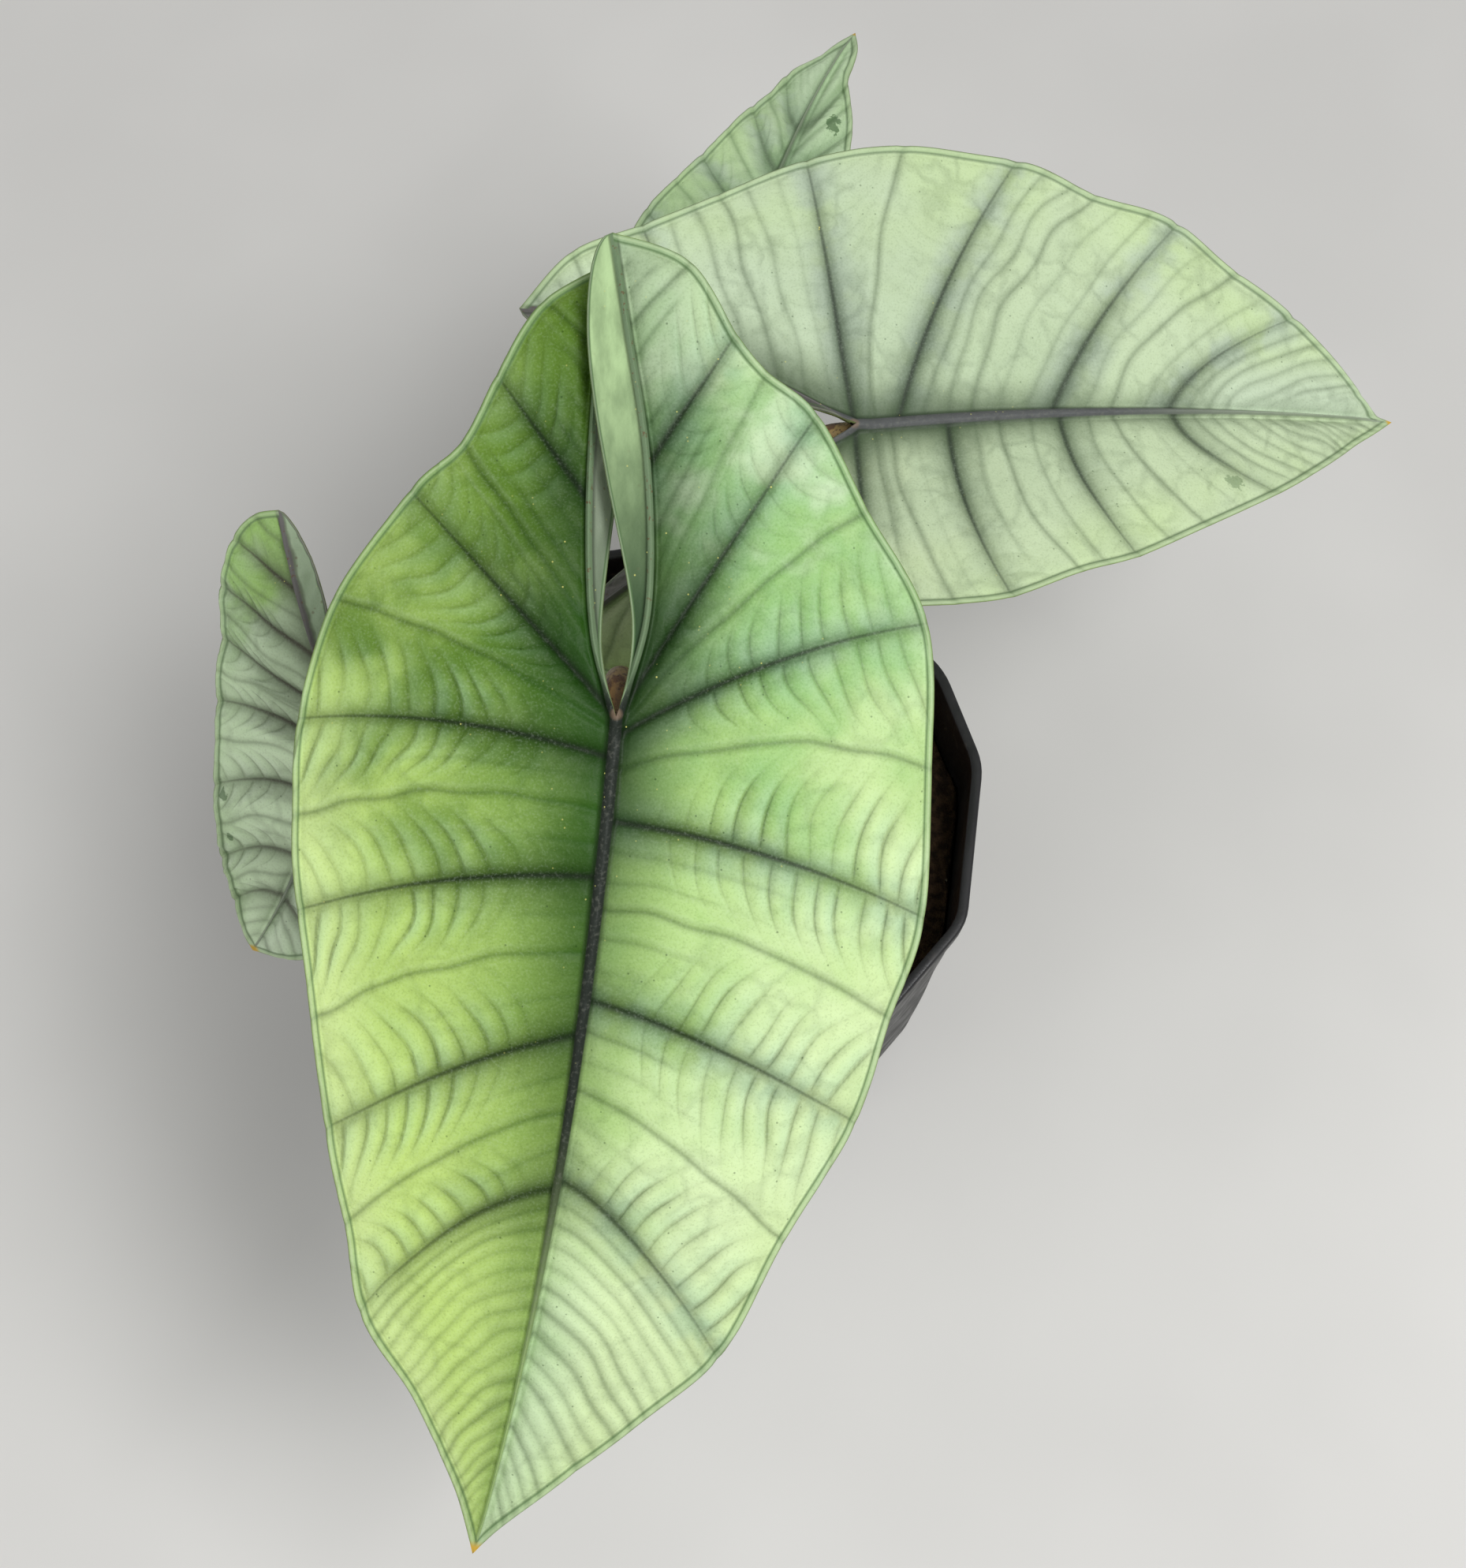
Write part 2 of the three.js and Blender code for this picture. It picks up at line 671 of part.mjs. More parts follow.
// The mix: its side follows the pot's flats, its top is a little uneven, and its hole fits the crown.
function mixGeometry() {
  const { level, ripple, pointsPerFlat, ringRadii } = MIX;
  const bottom = POT.floor + FIT;
  const crownHole = CROWN.radius * Math.max(...CROWN.profile) + 2 * FIT;
  const side = potRing(1, 0, pointsPerFlat);
  const ringOf = (radius, z, uneven) => side.map((point) => {
    const [x, y] = [point.x * radius, point.y * radius];
    const wave = Math.sin(x / 9 + 1) * Math.cos(y / 7) + 0.6 * Math.sin((x + 2 * y) / 5);
    return new THREE.Vector3(x, y, z + uneven * ripple * wave);
  });
  const round = (radius, z) => side.map((point) => {
    const angle = Math.atan2(point.y, point.x);
    return new THREE.Vector3(radius * Math.cos(angle), radius * Math.sin(angle), z);
  });
  return loft([
    ringOf(wallRadius(bottom) - 2 * FIT, bottom, 0),
    ringOf(wallRadius(level) - 2 * FIT, level, 0),
    ...ringRadii.map((radius) => ringOf(radius, level, 1)),
    round(crownHole, level),
    round(crownHole, CROWN.bottom - FIT),
  ]);
}

function meshOf(name, geometry, look) {
  const mesh = new THREE.Mesh(geometry, new THREE.MeshStandardMaterial({ metalness: 0, ...look }));
  mesh.name = name;
  return mesh;
}

const plant = new THREE.Group();
plant.add(meshOf("pot", potGeometry(), LOOKS.pot));
plant.add(meshOf("potting_mix", mixGeometry(), LOOKS.mix));
plant.add(meshOf("crown", crownGeometry(), LOOKS.crown));
for (const [place, stalk] of Object.entries(STALK_WAYS)) {
  plant.add(meshOf(`stalk_${place}`, stalkGeometry(stalk, 0), LOOKS.stalk));
  plant.add(meshOf(stalk.leaf.name, bladeGeometry(stalk.leaf), LOOKS[stalk.leaf.name]));
}

export default plant;
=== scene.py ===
# %% [markdown]
# This file dresses a potted alocasia with four arrow-shaped leaves: blades with sunken veins and a
# rolled edge, mottled stalks, a scarred stem base, bark mix and a black plastic pot.
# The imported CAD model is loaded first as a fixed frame, so that each finer piece can be made exactly
# where its plain solid stands. A finer piece then replaces the solid.

# %% Load the frame
import math

import bpy
import numpy as np
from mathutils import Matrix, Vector
from mathutils.geometry import tessellate_polygon


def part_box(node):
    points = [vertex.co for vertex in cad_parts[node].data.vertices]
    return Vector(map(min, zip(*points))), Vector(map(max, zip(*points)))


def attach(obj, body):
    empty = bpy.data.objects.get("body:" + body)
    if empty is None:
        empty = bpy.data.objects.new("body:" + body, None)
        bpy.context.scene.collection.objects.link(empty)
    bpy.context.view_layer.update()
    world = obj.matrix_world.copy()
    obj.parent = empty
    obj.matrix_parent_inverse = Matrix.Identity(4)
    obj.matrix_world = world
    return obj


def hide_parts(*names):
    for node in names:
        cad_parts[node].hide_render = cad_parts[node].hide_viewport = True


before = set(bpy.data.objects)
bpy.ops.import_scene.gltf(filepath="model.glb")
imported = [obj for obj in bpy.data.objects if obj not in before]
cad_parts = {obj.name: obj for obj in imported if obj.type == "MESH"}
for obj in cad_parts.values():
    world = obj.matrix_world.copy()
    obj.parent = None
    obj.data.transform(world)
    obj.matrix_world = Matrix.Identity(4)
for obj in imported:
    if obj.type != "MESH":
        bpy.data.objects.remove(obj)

MM = 0.001  # lengths are worked out in millimetres, and Blender's are metres
DEGREE = math.pi / 180
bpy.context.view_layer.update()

# %% [markdown]
# The photograph looks steeply down on the plant. Its view could be guessed by eye, but the pot gives
# it exactly: the middle of its rim falls on one known pixel at a known distance, and the flats of its
# wall show the angle. A normal 50 mm lens keeps the leaf's long tip from being stretched.

# %% Camera
IMAGE_SIZE = (1859, 1988)
RIM_CENTRE_PIXEL = (865, 1020)
RIM_DISTANCE = 0.552  # metres
LENS, SENSOR = 50, 36  # mm
LOOKS_DOWN = 68 * DEGREE


def add_camera():
    """The camera stands where the pot's rim centre falls on its pixel at its distance."""
    forward = Vector((0, math.cos(LOOKS_DOWN), -math.sin(LOOKS_DOWN)))
    upward = Vector((0, math.sin(LOOKS_DOWN), math.cos(LOOKS_DOWN)))
    pixels = LENS / SENSOR * max(IMAGE_SIZE)
    aside = (RIM_CENTRE_PIXEL[0] - IMAGE_SIZE[0] / 2) / pixels
    above = (IMAGE_SIZE[1] / 2 - RIM_CENTRE_PIXEL[1]) / pixels
    rim_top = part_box("pot")[1].z
    to_rim = forward + Vector((aside, 0, 0)) + above * upward
    data = bpy.data.cameras.new("view")
    data.lens = LENS
    data.sensor_width = SENSOR
    camera = bpy.data.objects.new("view", data)
    camera.location = Vector((0, 0, rim_top)) - to_rim * RIM_DISTANCE
    camera.rotation_euler = (math.pi / 2 - LOOKS_DOWN, 0, 0)
    bpy.context.scene.collection.objects.link(camera)
    bpy.context.scene.camera = camera
    return camera


print("camera stands at", [round(v, 4) for v in add_camera().location])

# %% [markdown]
# A few small helpers keep the later steps short: soft steps and blends on whole arrays of numbers,
# gentle random waves, smooth lines through points and distances to them. Numpy works on all the
# points of a leaf at once, which is much quicker than a loop over them.

# %% Number helpers


def soft_step(values, start, end):
    """0 before start, 1 past end, and a smooth rise between them."""
    length = np.where(np.equal(start, end), 1e-9, np.subtract(end, start))
    share = np.clip((values - start) / length, 0, 1)
    return share * share * (3 - 2 * share)


def blend(a, b, share):
    """The value a share of the way from a to b."""
    return a + (b - a) * share


def hump(values, width):
    """1 where values are 0, falling to nothing over about twice the width."""
    return np.exp(-((values / width) ** 2))


def soft_waves(x, y, length, seed):
    """Gentle random swells between about -1 and 1, with waves of about this length."""
    draw = np.random.default_rng(seed)
    total = np.zeros(np.broadcast(x, y).shape)
    for _ in range(7):
        turn = draw.uniform(0, 2 * math.pi)
        pace = 2 * math.pi / (length * draw.uniform(0.7, 1.6))
        total += np.sin(pace * (x * math.cos(turn) + y * math.sin(turn)) + draw.uniform(0, 6.3))
    return total / 3.5


# %% Smooth lines and distances


def smooth_through(values, place):
    """A smooth value through evenly numbered ones, at places between 0 and the last number."""
    values = np.asarray(values, float)
    last = len(values) - 1
    i = np.minimum(np.floor(place).astype(int), last - 1)
    f = (place - i).reshape(-1, *[1] * (values.ndim - 1))
    before = values[np.maximum(i - 1, 0)]
    after = values[np.minimum(i + 2, last)]
    a, b = values[i], values[i + 1]
    linear = b - before
    square = 2 * before - 5 * a + 4 * b - after
    cubic = 3 * a - before - 3 * b + after
    return a + 0.5 * f * (linear + f * (square + f * cubic))


def distance_to_line(points, line):
    """The flat distance in mm from each point to a line of points."""
    nearest = np.full(points.shape[:-1], np.inf)
    for start, end in zip(line[:-1], line[1:]):
        along = end - start
        square = max(along @ along, 1e-9)
        share = np.clip(((points - start) @ along) / square, 0, 1)
        gap = points - start - share[..., None] * along
        nearest = np.minimum(nearest, np.hypot(gap[..., 0], gap[..., 1]))
    return nearest


# %% [markdown]
# A piece is a mesh that stands for one part of the plant. Blender's own add-mesh tools could start
# it, but every shape here comes from worked-out points, so one helper takes them as they are, and
# another ties the piece to the frame and says how many triangles it has.

# %% Piece helper


def add_piece(name, points, faces, materials, face_material=None, smooth=True):
    """A mesh object from points in mm and faces, with one or more materials."""
    mesh = bpy.data.meshes.new(name)
    mesh.from_pydata((np.asarray(points) * MM).tolist(), [], [list(face) for face in faces])
    for material in materials:
        mesh.materials.append(material)
    if face_material is not None:
        mesh.polygons.foreach_set("material_index", np.asarray(face_material, np.int32))
    mesh.polygons.foreach_set("use_smooth", np.full(len(mesh.polygons), smooth))
    mesh.update()
    piece = bpy.data.objects.new(name, mesh)
    bpy.context.scene.collection.objects.link(piece)
    return piece


def place_piece(piece, slot, *nodes):
    """The piece rides on the plant and stands for these nodes. The slot is not used."""
    piece.data.validate()
    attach(piece, "root")
    if nodes:
        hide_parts(*nodes)
    print(piece.name, "has", sum(len(p.vertices) - 2 for p in piece.data.polygons), "triangles")
    return piece


# %% [markdown]
# Every finish is a graph of nodes on one Principled shader. Building graphs by hand in the shader
# editor is fine for one material, but here the four blades share one recipe with other colours, so
# a small class adds nodes from code and keeps each finish short enough to read.

# %% Node graph helper


def rgb(red, green, blue):
    """A colour as the eye picks it, 0 to 255, as the shader wants it."""
    parts = [value / 255 for value in (red, green, blue)]
    linear = [p / 12.92 if p <= 0.04045 else ((p + 0.055) / 1.055) ** 2.4 for p in parts]
    return (*linear, 1.0)


class NodeGraph:
    """A material under construction: each call adds a node and gives back its output."""

    def __init__(self, name, roughness=0.5, specular=0.5):
        self.material = bpy.data.materials.new(name)
        self.material.use_nodes = True
        self.tree = self.material.node_tree
        self.shader = self.tree.nodes["Principled BSDF"]
        self.shader.inputs["Roughness"].default_value = roughness
        self.shader.inputs["Specular IOR Level"].default_value = specular
        place = self.tree.nodes.new("ShaderNodeTexCoord")
        self.place = place.outputs["Object"]

    def feed(self, socket, value):
        """Join an output to a socket, or set a plain value on it."""
        if isinstance(value, bpy.types.NodeSocket):
            self.tree.links.new(value, socket)
        else:
            socket.default_value = value

    def set(self, name, value):
        """Feed one of the shader's own sockets."""
        self.feed(self.shader.inputs[name], value)

    def math(self, operation, *values):
        """A math node of any kind."""
        node = self.tree.nodes.new("ShaderNodeMath")
        node.operation = operation
        for socket, value in zip(node.inputs, values):
            self.feed(socket, value)
        return node.outputs[0]

    def times(self, *values):
        """All values multiplied."""
        total = values[0]
        for value in values[1:]:
            total = self.math("MULTIPLY", total, value)
        return total

    def plus(self, *values):
        """All values added up."""
        total = values[0]
        for value in values[1:]:
            total = self.math("ADD", total, value)
        return total

    def less(self, value):
        """What is left of 1 after value."""
        return self.math("SUBTRACT", 1.0, value)

    def attribute(self, name):
        """A fact that the mesh carries under this name."""
        node = self.tree.nodes.new("ShaderNodeAttribute")
        node.attribute_name = name
        return node.outputs["Fac"]

    def step(self, value, start, end, low=0.0, high=1.0):
        """low before start, high past end, and a smooth rise between them."""
        node = self.tree.nodes.new("ShaderNodeMapRange")
        node.interpolation_type = "SMOOTHSTEP"
        for name, number in zip(("From Min", "From Max", "To Min", "To Max"), (start, end, low, high)):
            self.feed(node.inputs[name], number)
        self.feed(node.inputs["Value"], value)
        return node.outputs["Result"]

    def mix(self, share, a, b):
        """The colour a share of the way from a to b."""
        node = self.tree.nodes.new("ShaderNodeMix")
        node.data_type = "RGBA"
        self.feed(node.inputs["Factor"], share)
        self.feed(node.inputs[6], a)
        self.feed(node.inputs[7], b)
        return node.outputs[2]


# %% [markdown]
# On top of the plain nodes come the patterns that leaves, bark and plastic share: lines, soft noise,
# specks and a fine net. Their sizes are given in mm, so that a number in a finish can be checked
# against the plant. Image brushes could do the same, but they would blur close up.

# %% Pattern helper


class Finish(NodeGraph):
    """A node graph that also knows the patterns of this plant's finishes."""

    def lines(self, coordinate, unit, half_width):
        """1 on the lines where coordinate is whole, 0 beyond half_width mm. One unit is unit mm."""
        wrapped = self.math("FRACT", self.math("ADD", coordinate, 0.5))
        away = self.times(self.math("ABSOLUTE", self.math("SUBTRACT", wrapped, 0.5)), unit)
        return self.step(away, half_width, 0.0)

    def noise(self, size, detail=2.0, stretch=(1, 1, 1)):
        """Soft random values about 0.5, in grains of about size mm."""
        mapping = self.tree.nodes.new("ShaderNodeMapping")
        mapping.inputs["Scale"].default_value = stretch
        self.feed(mapping.inputs["Vector"], self.place)
        node = self.tree.nodes.new("ShaderNodeTexNoise")
        node.inputs["Scale"].default_value = 1 / (size * MM)
        node.inputs["Detail"].default_value = detail
        self.tree.links.new(mapping.outputs[0], node.inputs["Vector"])
        return node.outputs["Fac"]

    def specks(self, spacing, size, share):
        """1 in round specks of about size mm, in this share of cells that are spacing mm wide."""
        node = self.tree.nodes.new("ShaderNodeTexVoronoi")
        node.inputs["Scale"].default_value = 1 / (spacing * MM)
        self.feed(node.inputs["Vector"], self.place)
        parts = self.tree.nodes.new("ShaderNodeSeparateColor")
        self.feed(parts.inputs[0], node.outputs["Color"])
        there = self.math("LESS_THAN", parts.outputs[0], share)
        spot = self.step(node.outputs["Distance"], size / spacing, 0.4 * size / spacing)
        return self.times(spot, there)

    def net(self, size, half_width):
        """1 on the lines of an irregular net, with meshes of about size mm."""
        noise = self.tree.nodes.new("ShaderNodeTexNoise")
        noise.inputs["Scale"].default_value = 1 / (size * MM)
        self.feed(noise.inputs["Vector"], self.place)
        shaken = self.tree.nodes.new("ShaderNodeVectorMath")
        shaken.operation = "MULTIPLY_ADD"
        for socket, value in zip(shaken.inputs, (noise.outputs["Color"], [size * MM] * 3, self.place)):
            self.feed(socket, value)
        node = self.tree.nodes.new("ShaderNodeTexVoronoi")
        node.feature = "DISTANCE_TO_EDGE"
        node.inputs["Scale"].default_value = 1 / (size * MM)
        self.feed(node.inputs["Vector"], shaken.outputs[0])
        return self.step(node.outputs["Distance"], half_width / size, 0.0)

    def bump(self, height_mm):
        """Bumps from a height in mm."""
        node = self.tree.nodes.new("ShaderNodeBump")
        node.inputs["Distance"].default_value = MM
        self.feed(node.inputs["Height"], height_mm)
        self.set("Normal", node.outputs["Normal"])


# %% [markdown]
# Each blade is drawn flat and then bent. The flat drawing is a fan of rays: each runs from a rib to
# the edge, and the main veins lie on some of them. A leaf could also be sculpted, but rays give the
# outline and the veins from the same few numbers, and they are the numbers the solids were made with,
# so the finer blade lies exactly where its solid is.
# A ray is rib s, rib t, edge s, edge t and 1 where a main vein lies on it; s runs from the sinus to the
# tip and back along the lobes, t to the sides. Rays stand two to a line: the first two lines are the
# lobe, and the third starts at the sinus.
# Heading is a compass angle, pitch the slope at the sinus, bend its change for each mm, fold the slope
# beside the rib and curl its change. Roll and twist lean the blade over, sweep turns the midrib
# sideways, and lift raises the end of a lobe. Rib is the midrib's half width, arcs the strength of the
# arcs round its main veins, bow and sway the curve and the wander of its fine veins, reach how far
# these go at least and at most, and strip the width and the fall of the folded inner edge of a lobe.
# Bend and curl have a second value for the lobes.

# %% Front leaf, drawn flat
SINUS_RAY = 4  # the number of the ray that starts at the sinus


def flat_size(leaf):
    """Length with the lobes and width of a blade's flat drawing in mm."""
    rays = [ray for side in ("right", "left") for ray in leaf[side]["rays"]]
    return [max(ray[i] for ray in rays) - min(ray[i] for ray in rays) for i in (2, 3)]


FRONT = {
    "name": "leaf_front",
    "sinus": (-9.5, -33, 230),
    "heading": 180,
    "pitch": -22,
    "bend": (-0.16, -0.1),
    "roll": 0,
    "twist": 0,
    "sweep": (-0.0865, -0.0005),
    "rib": 1.15,
    "arcs": 1.0,
    "bow": 1.0,
    "sway": 0.45,
    "reach": (0.05, 0.5),
    "right": {
        "side": 1,
        "strip": (9, 0.05),
        "fold": 4,
        "curl": (0.42, 0.42),
        "lift": 4,
        "rays": [
            (-94, -1, -94, -1, 0), (-75, 2, -88, 14, 0),
            (-48, 6, -74, 23, 1), (-20, 6, -67, 29, 0),
            (0, 0, -59, 39, 1), (2, 0, -41, 49, 0),
            (4, 0, -19, 62, 1), (11, 0, 10, 63, 0),
            (20, 0, 41, 62, 1), (37, 0, 62, 55, 0),
            (55, 0, 84, 48, 1), (73, 0, 109, 33, 0),
            (92, 0, 135, 19.5, 1), (121, 0, 152, 1, 0),
            (155, 0, 171, -21, 0), (186, 0, 186, -33.4, 0),
        ],
    },
    "left": {
        "side": -1,
        "strip": (5.5, 1.1),
        "fold": 4,
        "curl": (0.42, 0.42),
        "lift": -4,
        "rays": [
            (-91, -2, -91, -2, 0), (-72, -4, -83, -15, 0),
            (-42, -5.5, -68, -24, 1), (-16, -4.5, -54, -31, 0),
            (0, 0, -45, -41, 1), (3, 0, -24, -57, 0),
            (8, 0, 0, -65, 1), (19, 0, 20, -66, 0),
            (31, 0, 39, -65, 1), (46, 0, 61, -62, 0),
            (62, 0, 84, -59.5, 1), (78, 0, 104, -56, 0),
            (94, 0, 123, -53.5, 1), (121, 0, 143, -43.5, 0),
            (155, 0, 166, -36, 0), (186, 0, 186, -33.4, 0),
        ],
    },
}
print("front blade, flat, in mm:", flat_size(FRONT))

# %% [markdown]
# The right leaf is a silver one that lies under the front leaf. Its drawing could be a scaled copy,
# but no two leaves of a plant are alike, and its main veins stand more square to the rib.

# %% Right leaf, drawn flat
RIGHT = {
    "name": "leaf_right",
    "sinus": (40, 54, 193),
    "heading": 82,
    "pitch": -8,
    "bend": (-0.12, -0.1),
    "roll": 8,
    "twist": 0,
    "sweep": (0.045, 0),
    "rib": 1.2,
    "arcs": 0.16,
    "bow": 1.4,
    "sway": 0.8,
    "reach": (0.5, 1.5),
    "right": {
        "side": 1,
        "strip": (6, 0.6),
        "fold": 12,
        "curl": (0.12, 0.3),
        "lift": 0,
        "rays": [
            (-71, 33, -71, 33, 0), (-53, 29, -58, 45, 0),
            (-35, 20, -42, 50, 1), (-16, 10, -24, 57, 0),
            (0, 0, -4, 63, 1), (4, 0, 18, 65, 0),
            (10, 0, 44, 62, 1), (28, 0, 62, 54.5, 0),
            (47, 0, 83, 49, 1), (62, 0, 98, 38, 0),
            (77, 0, 113, 29, 1), (90, 0, 122, 22, 0),
            (103, 0, 130, 14, 0), (115, 0, 134, 10, 0),
            (127, 0, 137, 7.5, 0), (142, 0, 142, 6.4, 0),
        ],
    },
    "left": {
        "side": -1,
        "strip": (6, 0.6),
        "fold": 14,
        "curl": (0.15, 0.35),
        "lift": 0,
        "rays": [
            (-70, -44, -70, -44, 0), (-52, -33, -64, -54, 0),
            (-35, -22, -45, -56, 1), (-16, -10, -24, -52, 0),
            (0, 0, -4, -47, 1), (8, 0, 14, -47, 0),
            (22, 0, 28, -45.5, 1), (35, 0, 45, -40, 0),
            (49, 0, 60, -36, 1), (63, 0, 80, -27.5, 0),
            (78, 0, 101, -18, 1), (91, 0, 112, -12, 0),
            (104, 0, 122, -6, 0), (115, 0, 129, -1.5, 0),
            (127, 0, 135, 2, 0), (142, 0, 142, 6.4, 0),
        ],
    },
}
print("right blade, flat, in mm:", flat_size(RIGHT))

# %% [markdown]
# Of the back leaf only the outer part shows, so its lobes are a guess from the other leaves. It is
# narrow because its halves curl down steeply, above all the left one.

# %% Back leaf, drawn flat
BACK = {
    "name": "leaf_back",
    "sinus": (10, 88, 176),
    "heading": 13,
    "pitch": -4,
    "bend": (-0.16, -0.1),
    "roll": 4,
    "twist": 0,
    "sweep": (0, -0.0005),
    "rib": 0.7,
    "arcs": 0.3,
    "bow": 1.2,
    "sway": 0.6,
    "reach": (0.2, 0.8),
    "right": {
        "side": 1,
        "strip": (4, 0.6),
        "fold": 6,
        "curl": (0.35, 0.35),
        "lift": 0,
        "rays": [
            (-52, 15, -52, 15, 0), (-38, 12, -46, 28, 0),
            (-25, 8, -30, 33, 1), (-10, 4, -12, 35, 0),
            (0, 0, 6, 33, 1), (6, 0, 20, 29, 0),
            (14, 0, 34, 26.5, 1), (26, 0, 46, 22, 0),
            (38, 0, 57, 18, 1), (48, 0, 68, 14, 0),
            (57, 0, 80, 10, 1), (66, 0, 88, 7, 0),
            (76, 0, 96, 4.5, 1), (91, 0, 107, 0, 0),
            (108, 0, 118, -4, 0), (129, 0, 129, -8.3, 0),
        ],
    },
    "left": {
        "side": -1,
        "strip": (4, 0.6),
        "fold": 4,
        "curl": (0.8, 0.5),
        "lift": 0,
        "rays": [
            (-48, -13, -48, -13, 0), (-37, -10, -43, -21, 0),
            (-24, -7, -29, -24, 1), (-10, -4, -12, -25.5, 0),
            (0, 0, 5, -27, 1), (6, 0, 20, -27.5, 0),
            (14, 0, 34, -26.5, 1), (26, 0, 48, -24, 0),
            (38, 0, 60, -21, 1), (48, 0, 71, -17.5, 0),
            (57, 0, 82, -16, 1), (66, 0, 93, -13.5, 0),
            (76, 0, 103, -11, 1), (91, 0, 111, -11, 0),
            (108, 0, 119, -10.6, 0), (129, 0, 129, -8.3, 0),
        ],
    },
}
print("back blade, flat, in mm:", flat_size(BACK))

# %% [markdown]
# The left leaf is small and hangs steeply from its stalk. Only its left half shows, and the half
# under the front leaf mirrors it loosely.

# %% Left leaf, drawn flat
LEFT = {
    "name": "leaf_left",
    "sinus": (-76, -4, 163),
    "heading": 200,
    "pitch": -52,
    "bend": (-0.15, -0.2),
    "roll": 12,
    "twist": -0.15,
    "sweep": (-0.03, -0.0024),
    "rib": 1.0,
    "arcs": 1.0,
    "bow": 1.0,
    "sway": 0.8,
    "reach": (0.1, 0.7),
    "right": {
        "side": 1,
        "strip": (5, 0.6),
        "fold": 3,
        "curl": (0.4, 0.4),
        "lift": 0,
        "rays": [
            (-41, 22, -41, 22, 0), (-33, 17, -37, 32, 0),
            (-24, 12, -28, 38, 1), (-11, 6, -14, 40, 0),
            (0, 0, 0, 39, 1), (5, 0, 10, 38, 0),
            (10, 0, 20, 36, 1), (17, 0, 31, 32, 0),
            (25, 0, 42, 27, 1), (34, 0, 52, 20, 0),
            (44, 0, 62, 12, 1), (51, 0, 68, 5, 0),
            (58, 0, 73, -1, 1), (64, 0, 76, -6, 0),
            (71, 0, 78, -11, 0), (79, 0, 79, -17.3, 0),
        ],
    },
    "left": {
        "side": -1,
        "strip": (5, 0.6),
        "fold": 3,
        "curl": (0.3, 0.3),
        "lift": 0,
        "rays": [
            (-41, -27, -41, -27, 0), (-33, -21, -37, -34, 0),
            (-25, -16, -29, -38.5, 1), (-12, -7.5, -17, -39, 1),
            (0, 0, -5, -35.5, 1), (4, 0, 4, -36, 0),
            (9, 0, 12, -34.5, 1), (16, 0, 22, -33, 0),
            (23, 0, 33, -31, 1), (33, 0, 43, -29, 0),
            (43, 0, 53, -27, 1), (50, 0, 59, -25, 0),
            (57, 0, 65, -23, 1), (64, 0, 70, -21.5, 0),
            (71, 0, 75, -19.5, 0), (79, 0, 79, -17.3, 0),
        ],
    },
}
print("left blade, flat, in mm:", flat_size(LEFT))

# %% [markdown]
# A leaf blade is not flat: it slopes away from its stalk, bends down towards the tip and curls to both
# sides of the midrib. Two circular arcs say all of that, one along the blade and one across it. They
# are the same arcs as in the CAD model. A lattice or a bend modifier would only come close to it.

# %% Bend a flat drawing
LOBE_CURL_REACH = 40  # mm over which a lobe takes on its own curl


def arc(start, bend, length):
    """How far along and up a line goes that starts at an angle and turns by bend for each mm."""
    end = start + bend * length
    return (np.sin(end) - np.sin(start)) / bend, (np.cos(start) - np.cos(end)) / bend


def midrib_t(leaf, s):
    """How far the midrib has swept sideways at s."""
    return np.where(s > 0, leaf["sweep"][0] * s + leaf["sweep"][1] * s * s, 0.0)


def along_axis(amount, axis):
    """Vectors of these amounts along one axis."""
    return np.asarray(amount)[..., None] * axis


def place_on_blade(leaf, half, s, t, height):
    """The points in mm, on the plant, of flat points raised by height."""
    heading, pitch = leaf["heading"] * DEGREE, leaf["pitch"] * DEGREE
    ahead = np.array([math.sin(heading), math.cos(heading), 0])
    across = np.array([-math.cos(heading), math.sin(heading), 0])
    upward = np.array([0, 0, 1])
    bend = np.where(s > 0, leaf["bend"][0], leaf["bend"][1]) * DEGREE
    slope = pitch + bend * s
    along, rise = arc(pitch, bend, s)
    face = along_axis(-np.sin(slope), ahead) + along_axis(np.cos(slope), upward)
    roll = (leaf["roll"] + leaf["twist"] * s) * DEGREE
    sideways = along_axis(np.cos(roll), across) + np.sin(roll)[..., None] * face
    normal = along_axis(-np.sin(roll), across) + np.cos(roll)[..., None] * face
    lobe = soft_step(LOBE_CURL_REACH / 4 - s, 0, LOBE_CURL_REACH)
    curl = blend(half["curl"][0], half["curl"][1], lobe) * DEGREE
    rib = midrib_t(leaf, s)
    out, up = arc(half["fold"] * DEGREE, -curl, (t - rib) * half["side"])
    bent = np.array(leaf["sinus"]) + along_axis(along, ahead) + along_axis(rise, upward)
    return bent + (rib + out * half["side"])[..., None] * sideways + (up + height)[..., None] * normal


front_tip = np.array(FRONT["right"]["rays"][-1][2:4], float)
print("the front leaf's tip is at", place_on_blade(FRONT, FRONT["right"], *front_tip, 0).round(1))


# %% [markdown]
# The fine blade is a grid of rows that follow the rays and columns from the rib to the edge. Both
# halves start their rows at the same points of the midrib, so that they join without a step, and one
# row lies on each main vein and one midway between, where its crease needs it. Rows bow a little
# towards the sinus, because the real veins leave the midrib square and then turn to the tip.

# %% Rows and columns
VEIN_BOW = 3.2  # mm that the middle of a main vein lies behind a straight line
LATERAL_BOW = 5.2  # and the middle of a vein between two main ones
TIP_BOW = 10  # and the middle of a vein near the tip


def main_places(half):
    """The ray numbers of a half's main veins, with its first and its last ray."""
    last = len(half["rays"]) - 1
    return np.array([i for i, ray in enumerate(half["rays"]) if ray[4] or i in (0, last)], float)


